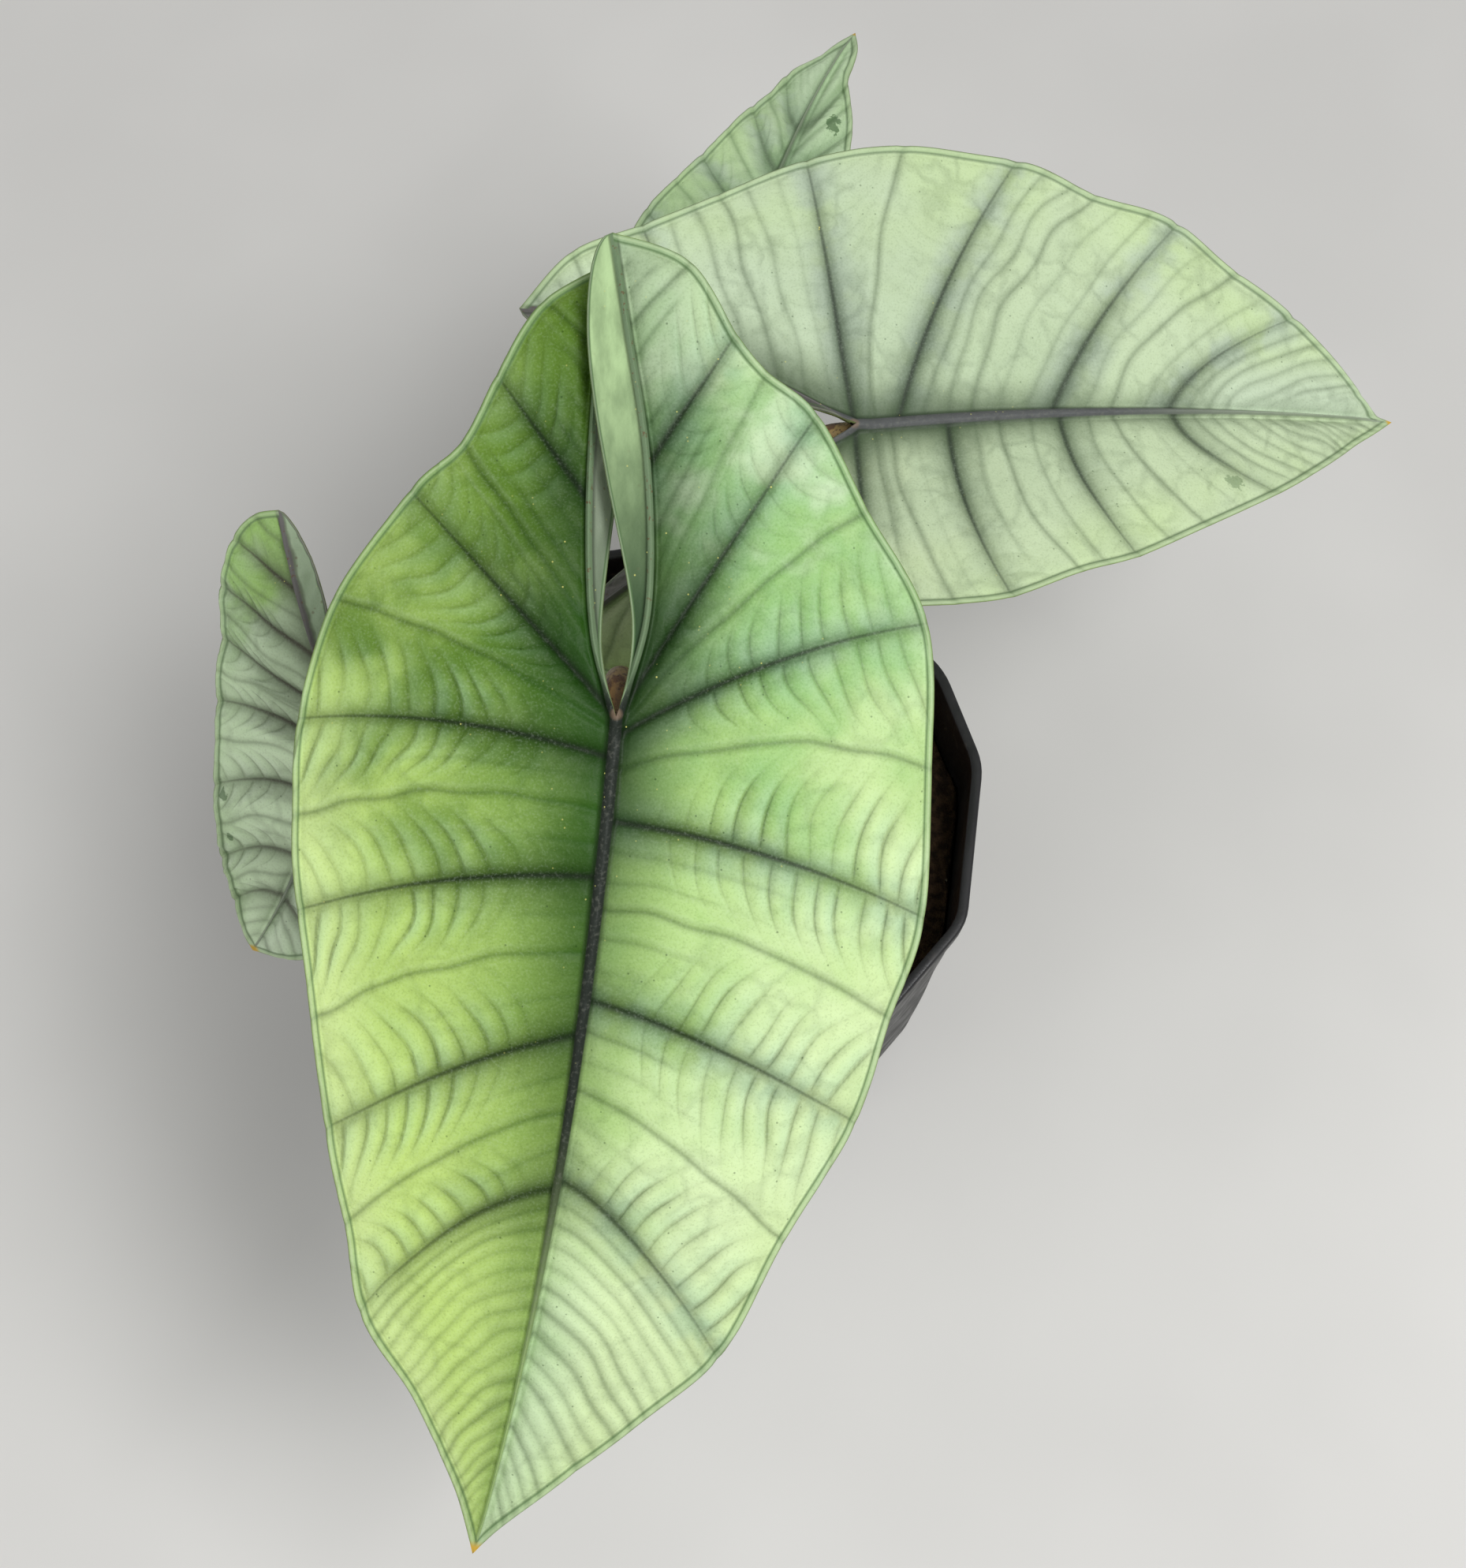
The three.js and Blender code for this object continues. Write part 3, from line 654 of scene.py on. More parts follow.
def rank_at(half, place):
    """Places counted in main veins: whole on a vein, and halfway between two of them at a half."""
    mains = main_places(half)
    return np.interp(place, mains, np.arange(len(mains)))


# %% Rows along the rays


def row_places(leaf, steps):
    """The places of the rows on the right and the left half, from the lobe's end to the tip."""
    halves = (leaf["right"], leaf["left"])
    rib = [np.array(half["rays"])[:, 0] for half in halves]
    numbers = np.arange(len(rib[0]))
    even = np.linspace(SINUS_RAY, numbers[-1], (numbers[-1] - SINUS_RAY) * steps + 1)
    shared = (np.interp(even, numbers, rib[0]) + np.interp(even, numbers, rib[1])) / 2
    for half, rib_s in zip(halves, rib):
        mains = main_places(half)
        creases = np.concatenate([mains, (mains[1:] + mains[:-1]) / 2])
        for s in np.interp(creases[creases > SINUS_RAY], numbers, rib_s):
            shared[np.argmin(np.abs(shared - s))] = s
    lobe = np.linspace(0, SINUS_RAY, SINUS_RAY * steps + 1)[:-1]
    bodies = [np.interp(shared, rib_s[SINUS_RAY:], numbers[SINUS_RAY:]) for rib_s in rib]
    return [np.concatenate([lobe, body]) for body in bodies]


def column_shares(columns):
    """Shares of the way from rib to edge, closer together at both ends."""
    even = np.linspace(0, 1, columns + 1)
    return 0.5 * even + 0.25 * (1 - np.cos(np.pi * even))


# %% One half, drawn flat


def flat_half(leaf, half, place, share):
    """The flat drawing of one half: its grid of points, and what each of them knows."""
    rays = np.array(half["rays"], float)
    numbers = np.arange(len(rays))
    costa = smooth_through(rays[: SINUS_RAY + 1, :2], np.minimum(place, SINUS_RAY))
    rib_s = np.interp(place, numbers, rays[:, 0])
    midrib = np.stack([rib_s, midrib_t(leaf, rib_s)], -1)
    on_costa = place < SINUS_RAY
    root = np.where(on_costa[:, None], costa, midrib)
    edge = smooth_through(rays[:, 2:4], place)
    edge[-1] = root[-1]
    width = np.hypot(*(edge - root).T)
    rank = rank_at(half, place)
    main_count = len(main_places(half))
    creased = np.sin(np.pi * rank) ** 2
    to_tip = soft_step(rank, main_count - 2.4, main_count - 1.5)
    bow = blend(blend(VEIN_BOW, LATERAL_BOW * leaf["bow"], creased), TIP_BOW, to_tip)
    bow = np.minimum(bow, width * blend(1 / 7, 1 / 4.5, to_tip))
    bow = bow * soft_step(place, SINUS_RAY, SINUS_RAY + 2)
    points = root[:, None] + share[None, :, None] * (edge - root)[:, None]
    points[..., 0] -= bow[:, None] * 4 * share * (1 - share)
    across = np.gradient(points, rank + 1e-6 * np.arange(len(rank)), axis=0)
    outward = (edge - root) / np.maximum(width, 1e-6)[:, None]
    gap = np.abs(across[..., 0] * outward[:, None, 1] - across[..., 1] * outward[:, None, 0])
    full = np.ones(points.shape[:2])
    return {
        "points": points,
        "rank": rank[:, None] * full,
        "gap": np.clip(gap, 2, 60),
        "share": share[None] * full,
        "width": width[:, None] * full,
        "rib_mm": distance_to_line(points, root[:: max(1, len(root) // 120)]),
        "edge_mm": distance_to_line(points, edge[:: 2]),
    }


# %% [markdown]
# Veins of three kinds cross an alocasia blade. Main veins run from the rib to the edge. Between them
# run finer laterals: the middle one reaches the edge, the others fade out on the way. Round the outer
# end of each main vein lie arcs, one behind the other like scales, which leave the vein square and
# then turn outwards. Drawing each of them by hand would take hundreds of curves. Here each kind is a
# smooth number that grows across the blade, and a vein lies wherever that number is whole. The finish
# later draws sharp lines from it, however coarse the grid is.

# %% Three kinds of veins
ARC_SPACING = 5.0  # mm from one arc to the next
ARC_BEND = 12.0  # mm that an arc turns outwards on its way to the next lateral
LATERAL_SPACING = 6.5  # mm along the rib, and in the tip past the last main vein
TIP_SPACING = 5.4
ARC_SWAY = 0.16  # how far an arc wanders, as a share of the spacing


def vein_draws(leaf, half):
    """Random facts of a half's veins, the same at each run: offsets of arcs, reach of laterals."""
    mains = main_places(half)
    rays = np.array(half["rays"], float)
    seed = sum(map(ord, leaf["name"])) * 2 + (half["side"] > 0)
    draw = np.random.default_rng(seed)
    roots = rays[mains.astype(int), :2]
    spans = np.hypot(*(roots[1:] - roots[:-1]).T)
    spacing = np.full(len(spans), LATERAL_SPACING)
    spacing[-1] = TIP_SPACING
    counts = 2 * np.maximum(1, np.rint(spans / (2 * spacing))).astype(int)
    starts = np.concatenate([[0], np.cumsum(counts)])
    reach = draw.uniform(*leaf["reach"], starts[-1] + 1)
    weight = draw.uniform(0.2, 0.75, starts[-1] + 1)
    reach[starts[-2] :] = draw.uniform(0.75, 1.6, counts[-1] + 1)
    weight[starts[-2] :] = draw.uniform(0.4, 0.95, counts[-1] + 1)
    middles = (starts[:-1] + counts // 2)[:-1]
    reach[middles] = 2
    weight[middles] = 0.9
    weight[starts] = 0
    return {
        "counts": counts,
        "starts": starts,
        "reach": reach,
        "weight": weight,
        "offsets": draw.uniform(0, 1, 2 * len(mains)),
        "arc_weight": leaf["arcs"] * draw.uniform(0.75, 1, 2 * len(mains)),
        "sway": leaf["sway"],
        "seed": seed,
    }


# %% How veins fade and return
SCRAMBLE_PACE, SCRAMBLE_SIZE = 12.9898, 437.58  # a fast, large sine makes whole numbers look random


def draw_share(seed, s, t):
    """A share between 0.5 and 1 that makes veins fade and return along their way."""
    return 0.5 + 0.5 * soft_step(soft_waves(s, t, 24, seed + 7), -0.7, 0.35)


def arc_share(seed, arcs):
    """A share between 0.5 and 1 for each arc, so that strong and faint ones take turns."""
    scrambled = np.abs(np.sin(SCRAMBLE_PACE * (np.floor(arcs) + seed % 89)) * SCRAMBLE_SIZE)
    return 0.5 + 0.5 * (scrambled % 1)


# %% Vein numbers at each point


def vein_fields(drawn, known, rank_of_cell):
    """What the finish needs at each point to draw the three kinds of veins."""
    last = len(drawn["counts"])
    s, t = known["points"][..., 0], known["points"][..., 1]
    rank, share = known["rank"], known["share"]
    vein = np.rint(rank_of_cell)
    panel = np.clip(np.floor(2 * rank_of_cell), 0, 2 * last).astype(int)
    aside = np.clip(2 * np.abs(rank - vein), 0, 1)
    real_vein = (vein >= 1) & (vein <= last - 1)
    has_arcs = real_vein & (rank_of_cell < last - 1)
    sway = soft_waves(s, t, 17, drawn["seed"])
    from_edge = (1 - share) * known["width"] + ARC_BEND * aside**2.2
    arcs = from_edge / ARC_SPACING + drawn["offsets"][panel] + ARC_SWAY * sway
    arc_room = soft_step(from_edge, 0.95 * known["width"], 0.6 * known["width"])
    arc_strength = has_arcs * arc_room * drawn["arc_weight"][panel] * soft_step(aside, 0, 0.1)
    fading = draw_share(drawn["seed"], s, t)
    arc_strength = arc_strength * blend(1, 0.12, soft_step(aside, 0.45, 0.85)) * fading
    arc_strength = arc_strength * arc_share(drawn["seed"] + 7 * panel, arcs)
    arc_strength = arc_strength * blend(1, 0.5, soft_step(-s, 5, 30))
    interval = np.clip(np.floor(rank_of_cell), 0, last - 1).astype(int)
    count = drawn["counts"][interval]
    lateral = (rank - interval) * count
    number = drawn["starts"][interval] + lateral
    ids = np.arange(len(drawn["reach"]))
    reach = np.interp(number, ids, drawn["reach"])
    weight = np.interp(number, ids, drawn["weight"])
    lateral_strength = weight * (1 - soft_step(share, reach, reach + 0.25))
    lateral_strength = lateral_strength * soft_step(known["gap"] / count, 1.2, 3.2)
    return {
        "main": rank,
        "main_unit": known["gap"],
        "main_strength": real_vein * np.ones(rank.shape),
        "lateral": lateral + drawn["sway"] * sway * np.sin(np.pi * lateral / count) * count / known["gap"],
        "lateral_unit": known["gap"] / count,
        "lateral_strength": lateral_strength,
        "arcs": arcs,
        "arc_strength": arc_strength,
        "aside": aside,
    }


for leaf in (FRONT, RIGHT, BACK, LEFT):
    counts = [int(vein_draws(leaf, leaf[side])["counts"].sum()) for side in ("right", "left")]
    print(leaf["name"], "has this many fine veins on its right and left:", counts)

# %% [markdown]
# The relief is what catches the light: the blade swells between its veins, a crease runs along each
# of them, the ribs stand up like rounded cords, and the edge is rolled. It is built into the mesh, so
# that it also shows from the side. Finer creases come from bumps in the finish.

# %% Relief of a blade
RIB_RISE, RIB_UNDER, THICKNESS = 1.2, 1.5, 1.0
PUFF, SWELL_POWER, FADE_LENGTH = 1.5, 0.8, 14
QUILT = 0.9  # mm that the arcs stand out like scales
MAIN_CREASE, MIDDLE_CREASE = 0.55, 0.25
EDGE_ROLL, EDGE_GROOVE = 0.6, 0.3
SWELL, RUFFLE = 0.4, 0.7  # mm of the gentle waves inside the blade and along its edge
FOOT_GROOVE, KNUCKLE = 0.35, 1.1
VEIN_UNDER = 0.6  # mm that a main vein stands out below
COSTA_HALF_WIDTH = 0.6  # the two ribs of the lobes are much finer than the midrib
STRIP_WIDEST = 0.62  # share of the way up the lobe where its folded strip is widest


def lift_at(half, s):
    """How far a lobe is raised at s, most at its end."""
    return half["lift"] * soft_step(-s, 0, -half["rays"][0][0])


def rib_shape(leaf, half, known):
    """How full the rib is, from 0 to 1, and its half width in mm."""
    s = known["points"][..., 0]
    tip_s = half["rays"][-1][0]
    fade = np.where(s > 0, soft_step(tip_s - s, 0, FADE_LENGTH), soft_step(known["width"], 0, FADE_LENGTH))
    midrib = leaf["rib"] * blend(1, 0.27, soft_step(s / tip_s, 0.1, 0.95))
    half_width = blend(COSTA_HALF_WIDTH, midrib, soft_step(s, -8, 0))
    return fade, half_width


# %% Height of the upper side


def blade_height(leaf, half, known, drawn):
    """Height of the fine blade over its plain bent sheet."""
    veins = vein_fields(drawn, known, known["rank"])
    s, t = known["points"][..., 0], known["points"][..., 1]
    fade = soft_step(known["width"], 0, FADE_LENGTH)
    full, half_width = rib_shape(leaf, half, known)
    swell = np.abs(np.sin(np.pi * known["share"])) ** SWELL_POWER
    puff = PUFF * swell * (1 - np.cos(2 * np.pi * known["rank"])) / 2
    main_mm = np.abs(known["rank"] - np.rint(known["rank"])) * known["gap"]
    crease = MAIN_CREASE * hump(main_mm, 1.1) * veins["main_strength"]
    middle_mm = np.abs(known["rank"] - np.floor(known["rank"]) - 0.5) * known["gap"]
    crease = crease + MIDDLE_CREASE * hump(middle_mm, 1.1)
    ramp = veins["arcs"] % 1
    scales = QUILT * (1 - ramp) * soft_step(ramp, 0, 0.25) * veins["arc_strength"]
    scales = scales * soft_step(veins["aside"], 0, 0.2)
    rolled = EDGE_ROLL * hump(known["edge_mm"] - 0.5, 0.7)
    rolled = rolled - EDGE_GROOVE * hump(known["edge_mm"] - 1.9, 0.5)
    away = soft_step(known["rib_mm"], 0.5, 4)
    swells = SWELL * soft_waves(s, t, 26, drawn["seed"] + 1) * away
    ruffle = RUFFLE * soft_waves(s, t, 38, drawn["seed"] + 2) * soft_step(known["share"], 0.6, 1)
    foot = -FOOT_GROOVE * hump(known["rib_mm"] - half_width - 0.7, 0.6)
    rib = RIB_RISE * full * hump(known["rib_mm"], 1.1 * half_width)
    knuckle = KNUCKLE * hump(np.hypot(s - 0.3, t), 2.4)
    sunk = (puff - crease) * away + scales + rolled + swells + ruffle + foot
    return sunk * fade + rib + knuckle + lift_at(half, s)


# %% Thickness of the blade


def blade_depth(leaf, half, known, drawn):
    """How thick the blade is below each point: the rib and the main veins stand out underneath."""
    veins = vein_fields(drawn, known, known["rank"])
    full, half_width = rib_shape(leaf, half, known)
    under_midrib = blend(0.25, 1, soft_step(known["points"][..., 0], -4, 6))
    rib = (RIB_RISE + RIB_UNDER) * under_midrib * full * hump(known["rib_mm"], 1.5 * half_width)
    main_mm = np.abs(known["rank"] - np.rint(known["rank"])) * known["gap"]
    vein = VEIN_UNDER * hump(main_mm, 1.0) * veins["main_strength"] * soft_step(known["edge_mm"], 1, 8)
    rounded = np.sqrt(np.clip(known["edge_mm"] / 0.7, 0.02, 1))
    return (0.8 * THICKNESS + vein) * rounded + rib


# %% [markdown]
# Along the inner edge of each lobe a narrow strip of blade folds down from the rib. On the front leaf
# these two strips are what shows in the gap above the stalk: one smooth, one wrinkled.

# %% Folded strips of the lobes
STRIP_COLUMNS = 12
WRINKLED, SMOOTH = 0.7, 0.12  # mm of relief on the left and on the right strip


def strip_half(leaf, half, known, drawn, rib):
    """Both sheets of a strip and what its points know. Its first column is the rib's own."""
    rows = rib.shape[1]
    width, fall = half["strip"]
    out = np.clip(known["points"][:rows, :1, 0] / half["rays"][0][0], 0, 1)
    rounded_end = np.sqrt(1 - np.clip((out - STRIP_WIDEST) / (1 - STRIP_WIDEST), 0, 1) ** 2)
    wide = width * soft_step(out, 0, STRIP_WIDEST) ** 0.8 * rounded_end
    share = np.linspace(0, 1, STRIP_COLUMNS + 1)[None]
    s = known["points"][:rows, :1, 0] + 0 * share
    t = known["points"][:rows, :1, 1] - half["side"] * wide * share
    known_strip = {
        "points": np.stack([s, t], -1),
        "rank": np.full(s.shape, 0.5),
        "gap": np.full(s.shape, 20.0),
        "share": share + 0 * s,
        "width": known["width"][:rows, :1] + 0 * s,
        "rib_mm": wide * share,
        "edge_mm": wide * (1 - share),
    }
    full, half_width = rib_shape(leaf, half, known_strip)
    wrinkles = soft_waves(s, 1.6 * t, 5, 40 + half["side"]) * np.sin(np.pi * share) * full
    rough = WRINKLED if half["side"] < 0 else SMOOTH
    fallen = -fall * wide * share + RIB_RISE * full * hump(wide * share, 1.1 * half_width)
    height = fallen + rough * wrinkles * np.minimum(wide / 3, 1) + lift_at(half, s)
    depth = blade_depth(leaf, half, known_strip, drawn)
    both = np.stack([place_on_blade(leaf, half, s, t, height - low) for low in (0, depth)])
    both[:, :, 0] = rib
    both[:, 0] = rib[:, :1]
    both[:, -1] = rib[:, -1:]
    return both, known_strip


# %% [markdown]
# The grids of both halves and both strips are joined into one skin. Points that fall on each other
# become one, and cells that shrink to a line at the tips are dropped. The same skin again, lower by
# the blade's depth, makes the underside, and a narrow wall closes the edge.
# Facts for the finish are kept at the corners of the faces, not at the points, because the arcs on one
# side of a main vein don't continue on the other side.

# %% Facts at the corners of the cells
STRIP_EDGE = 2.5  # how many times narrower the rolled edge of a strip is
FAR_FROM_TIP = 99.0  # mm, so that no strip gets the yellow of the tip


def cell_corners(grid, flip):
    """The four corner values of each cell of a grid, in the order that makes the face look up."""
    around = [grid[:-1, :-1], grid[1:, :-1], grid[1:, 1:], grid[:-1, 1:]]
    if flip:
        around = around[::-1]
    return np.stack(around, 2).reshape(-1, 4, *grid.shape[2:])


def cell_fields(leaf, half, known, drawn, flip, is_strip):
    """The finish's facts at the corners of each cell."""
    known = {**known, "rib_half": rib_shape(leaf, half, known)[1]}
    corner = {name: cell_corners(grid, flip) for name, grid in known.items()}
    middle = corner["rank"].mean(1, keepdims=True) + 0 * corner["rank"]
    fields = vein_fields(drawn, corner, middle)
    if is_strip:
        for name in ("main_strength", "lateral_strength", "arc_strength"):
            fields[name] = 0 * fields[name]
    fields["rib_mm"] = corner["rib_mm"]
    fields["rib_half"] = corner["rib_half"]
    fields["edge_mm"] = corner["edge_mm"] * (STRIP_EDGE if is_strip else 1)
    fields["out"] = corner["share"]
    fields["flat_s"] = corner["points"][..., 0]
    fields["flat_t"] = corner["points"][..., 1]
    fields["right_half"] = np.full(middle.shape, float(half["side"] > 0))
    fields["strip"] = np.full(middle.shape, float(is_strip))
    tip = known["points"][-1, 0]
    fields["tip_mm"] = np.full(middle.shape, FAR_FROM_TIP)
    if not is_strip:
        fields["tip_mm"] = np.hypot(*np.moveaxis(corner["points"] - tip, -1, 0))
    return fields


# %% Grids and edges of a blade


def open_edges(cells):
    """The cell and the corner at which each edge starts that only one cell uses."""
    after = np.roll(cells, -1, axis=1)
    count = cells.max() + 1
    forward = cells * count + after
    backward = after * count + cells
    return np.nonzero(~np.isin(forward, backward) & (cells != after))


def blade_grids(leaf, steps, columns):
    """The four grids of a blade, two halves and two strips: both sheets' points, facts and flip."""
    grids = []
    share = column_shares(columns)
    sinus_row = SINUS_RAY * steps
    for half, place in zip((leaf["right"], leaf["left"]), row_places(leaf, steps)):
        flip = half["side"] < 0
        drawn = vein_draws(leaf, half)
        known = flat_half(leaf, half, place, share)
        s, t = known["points"][..., 0], known["points"][..., 1]
        height = blade_height(leaf, half, known, drawn)
        top = place_on_blade(leaf, half, s, t, height)
        under = place_on_blade(leaf, half, s, t, height - blade_depth(leaf, half, known, drawn))
        both = np.stack([top, under])
        if grids:
            both[:, sinus_row:, 0] = grids[0][0][:, sinus_row:, 0]
        grids.append((both, cell_fields(leaf, half, known, drawn, flip, False), flip))
        strip, known = strip_half(leaf, half, known, drawn, both[:, : sinus_row + 1, 0])
        grids.append((strip, cell_fields(leaf, half, known, drawn, not flip, True), not flip))
    return grids


# %% One closed skin


def joined_skin(grids):
    """The points of the upper and the lower sheet, and the cells of all grids."""
    points = np.concatenate([both.reshape(2, -1, 3) for both, *_ in grids], axis=1)
    cells, start = [], 0
    for both, _, flip in grids:
        numbers = start + np.arange(both[0, ..., 0].size).reshape(both.shape[1:3])
        cells.append(cell_corners(numbers, flip))
        start += numbers.size
    _, first, same = np.unique(points[0].round(2), axis=0, return_index=True, return_inverse=True)
    return points[:, first], same.reshape(-1)[np.concatenate(cells)]


def build_blade(leaf, steps, columns, materials):
    """One closed blade: upper sheet, underside and edge wall, with its facts at the corners."""
    grids = blade_grids(leaf, steps, columns)
    points, cells = joined_skin(grids)
    fields = {name: np.concatenate([grid[1][name] for grid in grids]) for name in grids[0][1]}
    rim, corner = open_edges(cells)
    rim_corners = (rim[:, None], np.stack([(corner + 1) % 4, corner, corner, (corner + 1) % 4], 1))
    count = points.shape[1]
    wall = cells[rim_corners] + [0, 0, count, count]
    all_cells = np.concatenate([cells, cells[:, ::-1] + count, wall])
    used = all_cells != np.roll(all_cells, -1, axis=1)
    kept = used.sum(1) > 2
    faces = [
        [corner for corner, real in zip(cell, mask) if real]
        for cell, mask in zip(all_cells[kept].tolist(), used[kept].tolist())
    ]
    kinds = np.repeat([0, 1, 0], [len(cells), len(cells), len(wall)])[kept]
    piece = add_piece(leaf["name"], points.reshape(-1, 3), faces, materials, kinds)
    for name, values in fields.items():
        everywhere = np.concatenate([values, values[:, ::-1], values[rim_corners]])
        attribute = piece.data.attributes.new(name, "FLOAT", "CORNER")
        attribute.data.foreach_set("value", everywhere[kept][used[kept]].astype(np.float32))
    return piece


# %% [markdown]
# The finish of a blade is a matte to satin skin. Its colour is built up in layers, as a painter would:
# first green that gets lighter from the sinus to the tip and edge, then a silvery cast beside the veins
# with a painted sheen, a dark shade round the rib that is partly painted shade, and at last the veins,
# the rib and the rim as sharp lines. An image could hold all that, but these layers stay sharp at any
# distance.
# In a pair of tones the first is for the left half of the blade and the second for its right half.
# On the front blade the left tones are darker and the right ones paler and bluer: partly the leaf's
# own colour, partly painted shade on the left half and painted sheen on the right.
# Halo is how many mm the dark shade beside the rib reaches, painted shade is the tone of a shade
# painted on the left half towards its rib, margin lightens its outer part, and tip is how long the
# yellow tip is. A blemish is given by its s and t, half its length, half its width and how dark it is.

# %% Tones of the front blade
PALE_VEIN_EDGE = rgb(206, 224, 200)
FRONT_TONES = {
    # Left lobe tones darker as painted shade, right lobe and light tones paler and bluer as painted sheen.
    "lobe_end": (rgb(104, 140, 48), rgb(194, 218, 176)),
    "lobe": (rgb(82, 118, 32), rgb(137, 183, 112)),
    "body": (rgb(166, 199, 101), rgb(168, 204, 120)),
    "light": (rgb(193, 221, 124), rgb(214, 235, 180)),
    "silver": rgb(172, 208, 178),
    "deep": rgb(12, 46, 0),
    "vein": rgb(8, 26, 2),
    "rib": rgb(36, 42, 36),
    "rib_tip": rgb(158, 184, 120),
    "costa": rgb(108, 130, 98),
    "joint": rgb(134, 112, 92),
    "rim": rgb(134, 164, 118),
    "rim_line": rgb(78, 108, 64),
    "strip": (rgb(112, 128, 104), rgb(50, 74, 46)),
    "strip_sheen": (rgb(186, 194, 176), rgb(178, 206, 152)),
    "edge": rgb(196, 224, 128),
    "edge_share": 0.2,
    "painted_shade": rgb(40, 90, 10),
    "painted_shade_share": 1.0,
    "margin": rgb(222, 240, 178),
    "margin_share": 0.42,
    "right_halo": 0.65,
    "net": 0.13,
    "halo": 26,
    "silver_and_sheen_share": 0.45,
    "tip": 4.6,
    "blemishes": (),
}

# %% Tones of the right blade
RIGHT_TONES = {
    **FRONT_TONES,
    "lobe_end": (rgb(212, 224, 178), rgb(204, 222, 190)),
    "lobe": (rgb(202, 218, 178), rgb(196, 214, 182)),
    "body": (rgb(186, 204, 168), rgb(184, 203, 166)),
    "light": (rgb(196, 214, 174), rgb(196, 214, 176)),
    "silver": rgb(190, 206, 192),
    "deep": rgb(66, 84, 58),
    "vein": rgb(48, 58, 46),
    "rib": rgb(88, 90, 90),
    "rib_tip": rgb(150, 162, 140),
    "costa": rgb(104, 102, 100),
    "rim": rgb(156, 182, 136),
    "rim_line": rgb(98, 120, 86),
    "strip": (rgb(104, 100, 98), rgb(104, 100, 98)),
    "strip_sheen": (rgb(124, 122, 118), rgb(124, 122, 118)),
    "edge": rgb(196, 224, 142),
    "edge_share": 0.36,
    "painted_shade_share": 0.0,
    "margin_share": 0.0,
    "right_halo": 1.0,
    "net": 0.18,
    "halo": 15,
    "silver_and_sheen_share": 0.6,
    "tip": 2.4,
    "blemishes": ((89, -16, 2.6, 1.8, 0.4),),
}

# %% Tones of the back blade
BACK_TONES = {
    **RIGHT_TONES,
    "lobe_end": (rgb(170, 196, 154), rgb(170, 196, 150)),
    "lobe": (rgb(170, 196, 154), rgb(170, 196, 150)),
    "body": (rgb(182, 208, 172), rgb(180, 208, 166)),
    "light": (rgb(194, 220, 176), rgb(192, 218, 166)),
    "deep": rgb(96, 126, 84),
    "edge": rgb(164, 200, 132),
    "edge_share": 0.35,
    "vein": rgb(94, 112, 86),
    "rib": rgb(118, 134, 108),
    "halo": 6,
    "blemishes": ((80, -11, 3.6, 1.7, 0.7),),
}

# %% Tones of the left blade
LEFT_TONES = {
    **RIGHT_TONES,
    "lobe_end": (rgb(160, 200, 112), rgb(160, 200, 112)),
    "lobe": (rgb(182, 204, 166), rgb(182, 204, 166)),
    # These body tones are paler than the leaf's own green: painted light that makes up for the front leaf's
    # shadow on it.
    "body": (rgb(226, 248, 208), rgb(208, 234, 192)),
    "light": (rgb(214, 236, 196), rgb(214, 236, 196)),
    "silver": rgb(212, 226, 206),
    "deep": rgb(84, 94, 72),
    "vein": rgb(64, 60, 50),
    "edge": rgb(160, 198, 130),
    "strip": (rgb(150, 168, 140), rgb(150, 168, 140)),
    "strip_sheen": (rgb(168, 186, 156), rgb(168, 186, 156)),
    "halo": 8,
    "blemishes": ((34, -28, 1.8, 1.1, 0.6), (45, -25, 1.1, 0.9, 0.6)),
}

# %% [markdown]
# The veins are drawn from the smooth numbers that the mesh carries. A node graph takes such a number,
# finds how far it is from a whole one, and that distance in mm gives a groove, a soft shade and a bump.
# Painted vertex colours would need a mesh ten times finer for lines as sharp as these.

# %% Main vein layers


def main_vein_layers(finish, tones, colour, along):
    """Main veins: a soft dark shade, partly painted, a darker groove, and their depth."""
    out = finish.attribute("out")
    main, unit = finish.attribute("main"), finish.attribute("main_unit")
    strength = finish.times(finish.attribute("main_strength"), finish.step(out, 0.3, 1.1, 1.0, 0.45))
    strength = finish.times(strength, finish.step(along, 0.1, 0.7, 1.0, 0.72))
    halo = finish.times(finish.lines(main, unit, finish.step(out, 0.0, 0.8, 10, 6)), strength)
    shade = finish.times(finish.lines(main, unit, finish.step(out, 0.0, 0.8, 3.6, 2.2)), strength)
    groove = finish.times(finish.lines(main, unit, finish.step(out, 0.0, 1.0, 1.3, 0.5)), strength)
    # The halo and the soft band are partly the veins' own dark green and partly painted shade of the
    # crease.
    colour = finish.mix(finish.times(halo, 0.45), colour, tones["deep"])
    colour = finish.mix(finish.times(shade, 0.6), colour, tones["deep"])
    colour = finish.mix(finish.times(groove, 0.88), colour, tones["vein"])
    return colour, finish.times(shade, -0.3)


# %% Layers of the fine veins


def lateral_layers(finish, tones, colour):
    """Fine veins from the rib: soft dark lines with a pale bank that is a painted highlight."""
    lateral, unit = finish.attribute("lateral"), finish.attribute("lateral_unit")
    strength = finish.attribute("lateral_strength")
    shade = finish.times(finish.lines(lateral, unit, 1.7), strength)
    core = finish.times(finish.lines(lateral, unit, 0.7), strength)
    bank = finish.lines(finish.math("ADD", lateral, finish.math("DIVIDE", 1.3, unit)), unit, 0.9)
    # The pale bank beside each fine vein is a painted highlight on the edge of its crease.
    colour = finish.mix(finish.times(bank, strength, 0.08), colour, PALE_VEIN_EDGE)
    colour = finish.mix(finish.times(shade, 0.3), colour, tones["deep"])
    colour = finish.mix(finish.times(core, 0.3), colour, tones["deep"])
    return colour, finish.times(shade, -0.26)


# %% Layers of the arcs


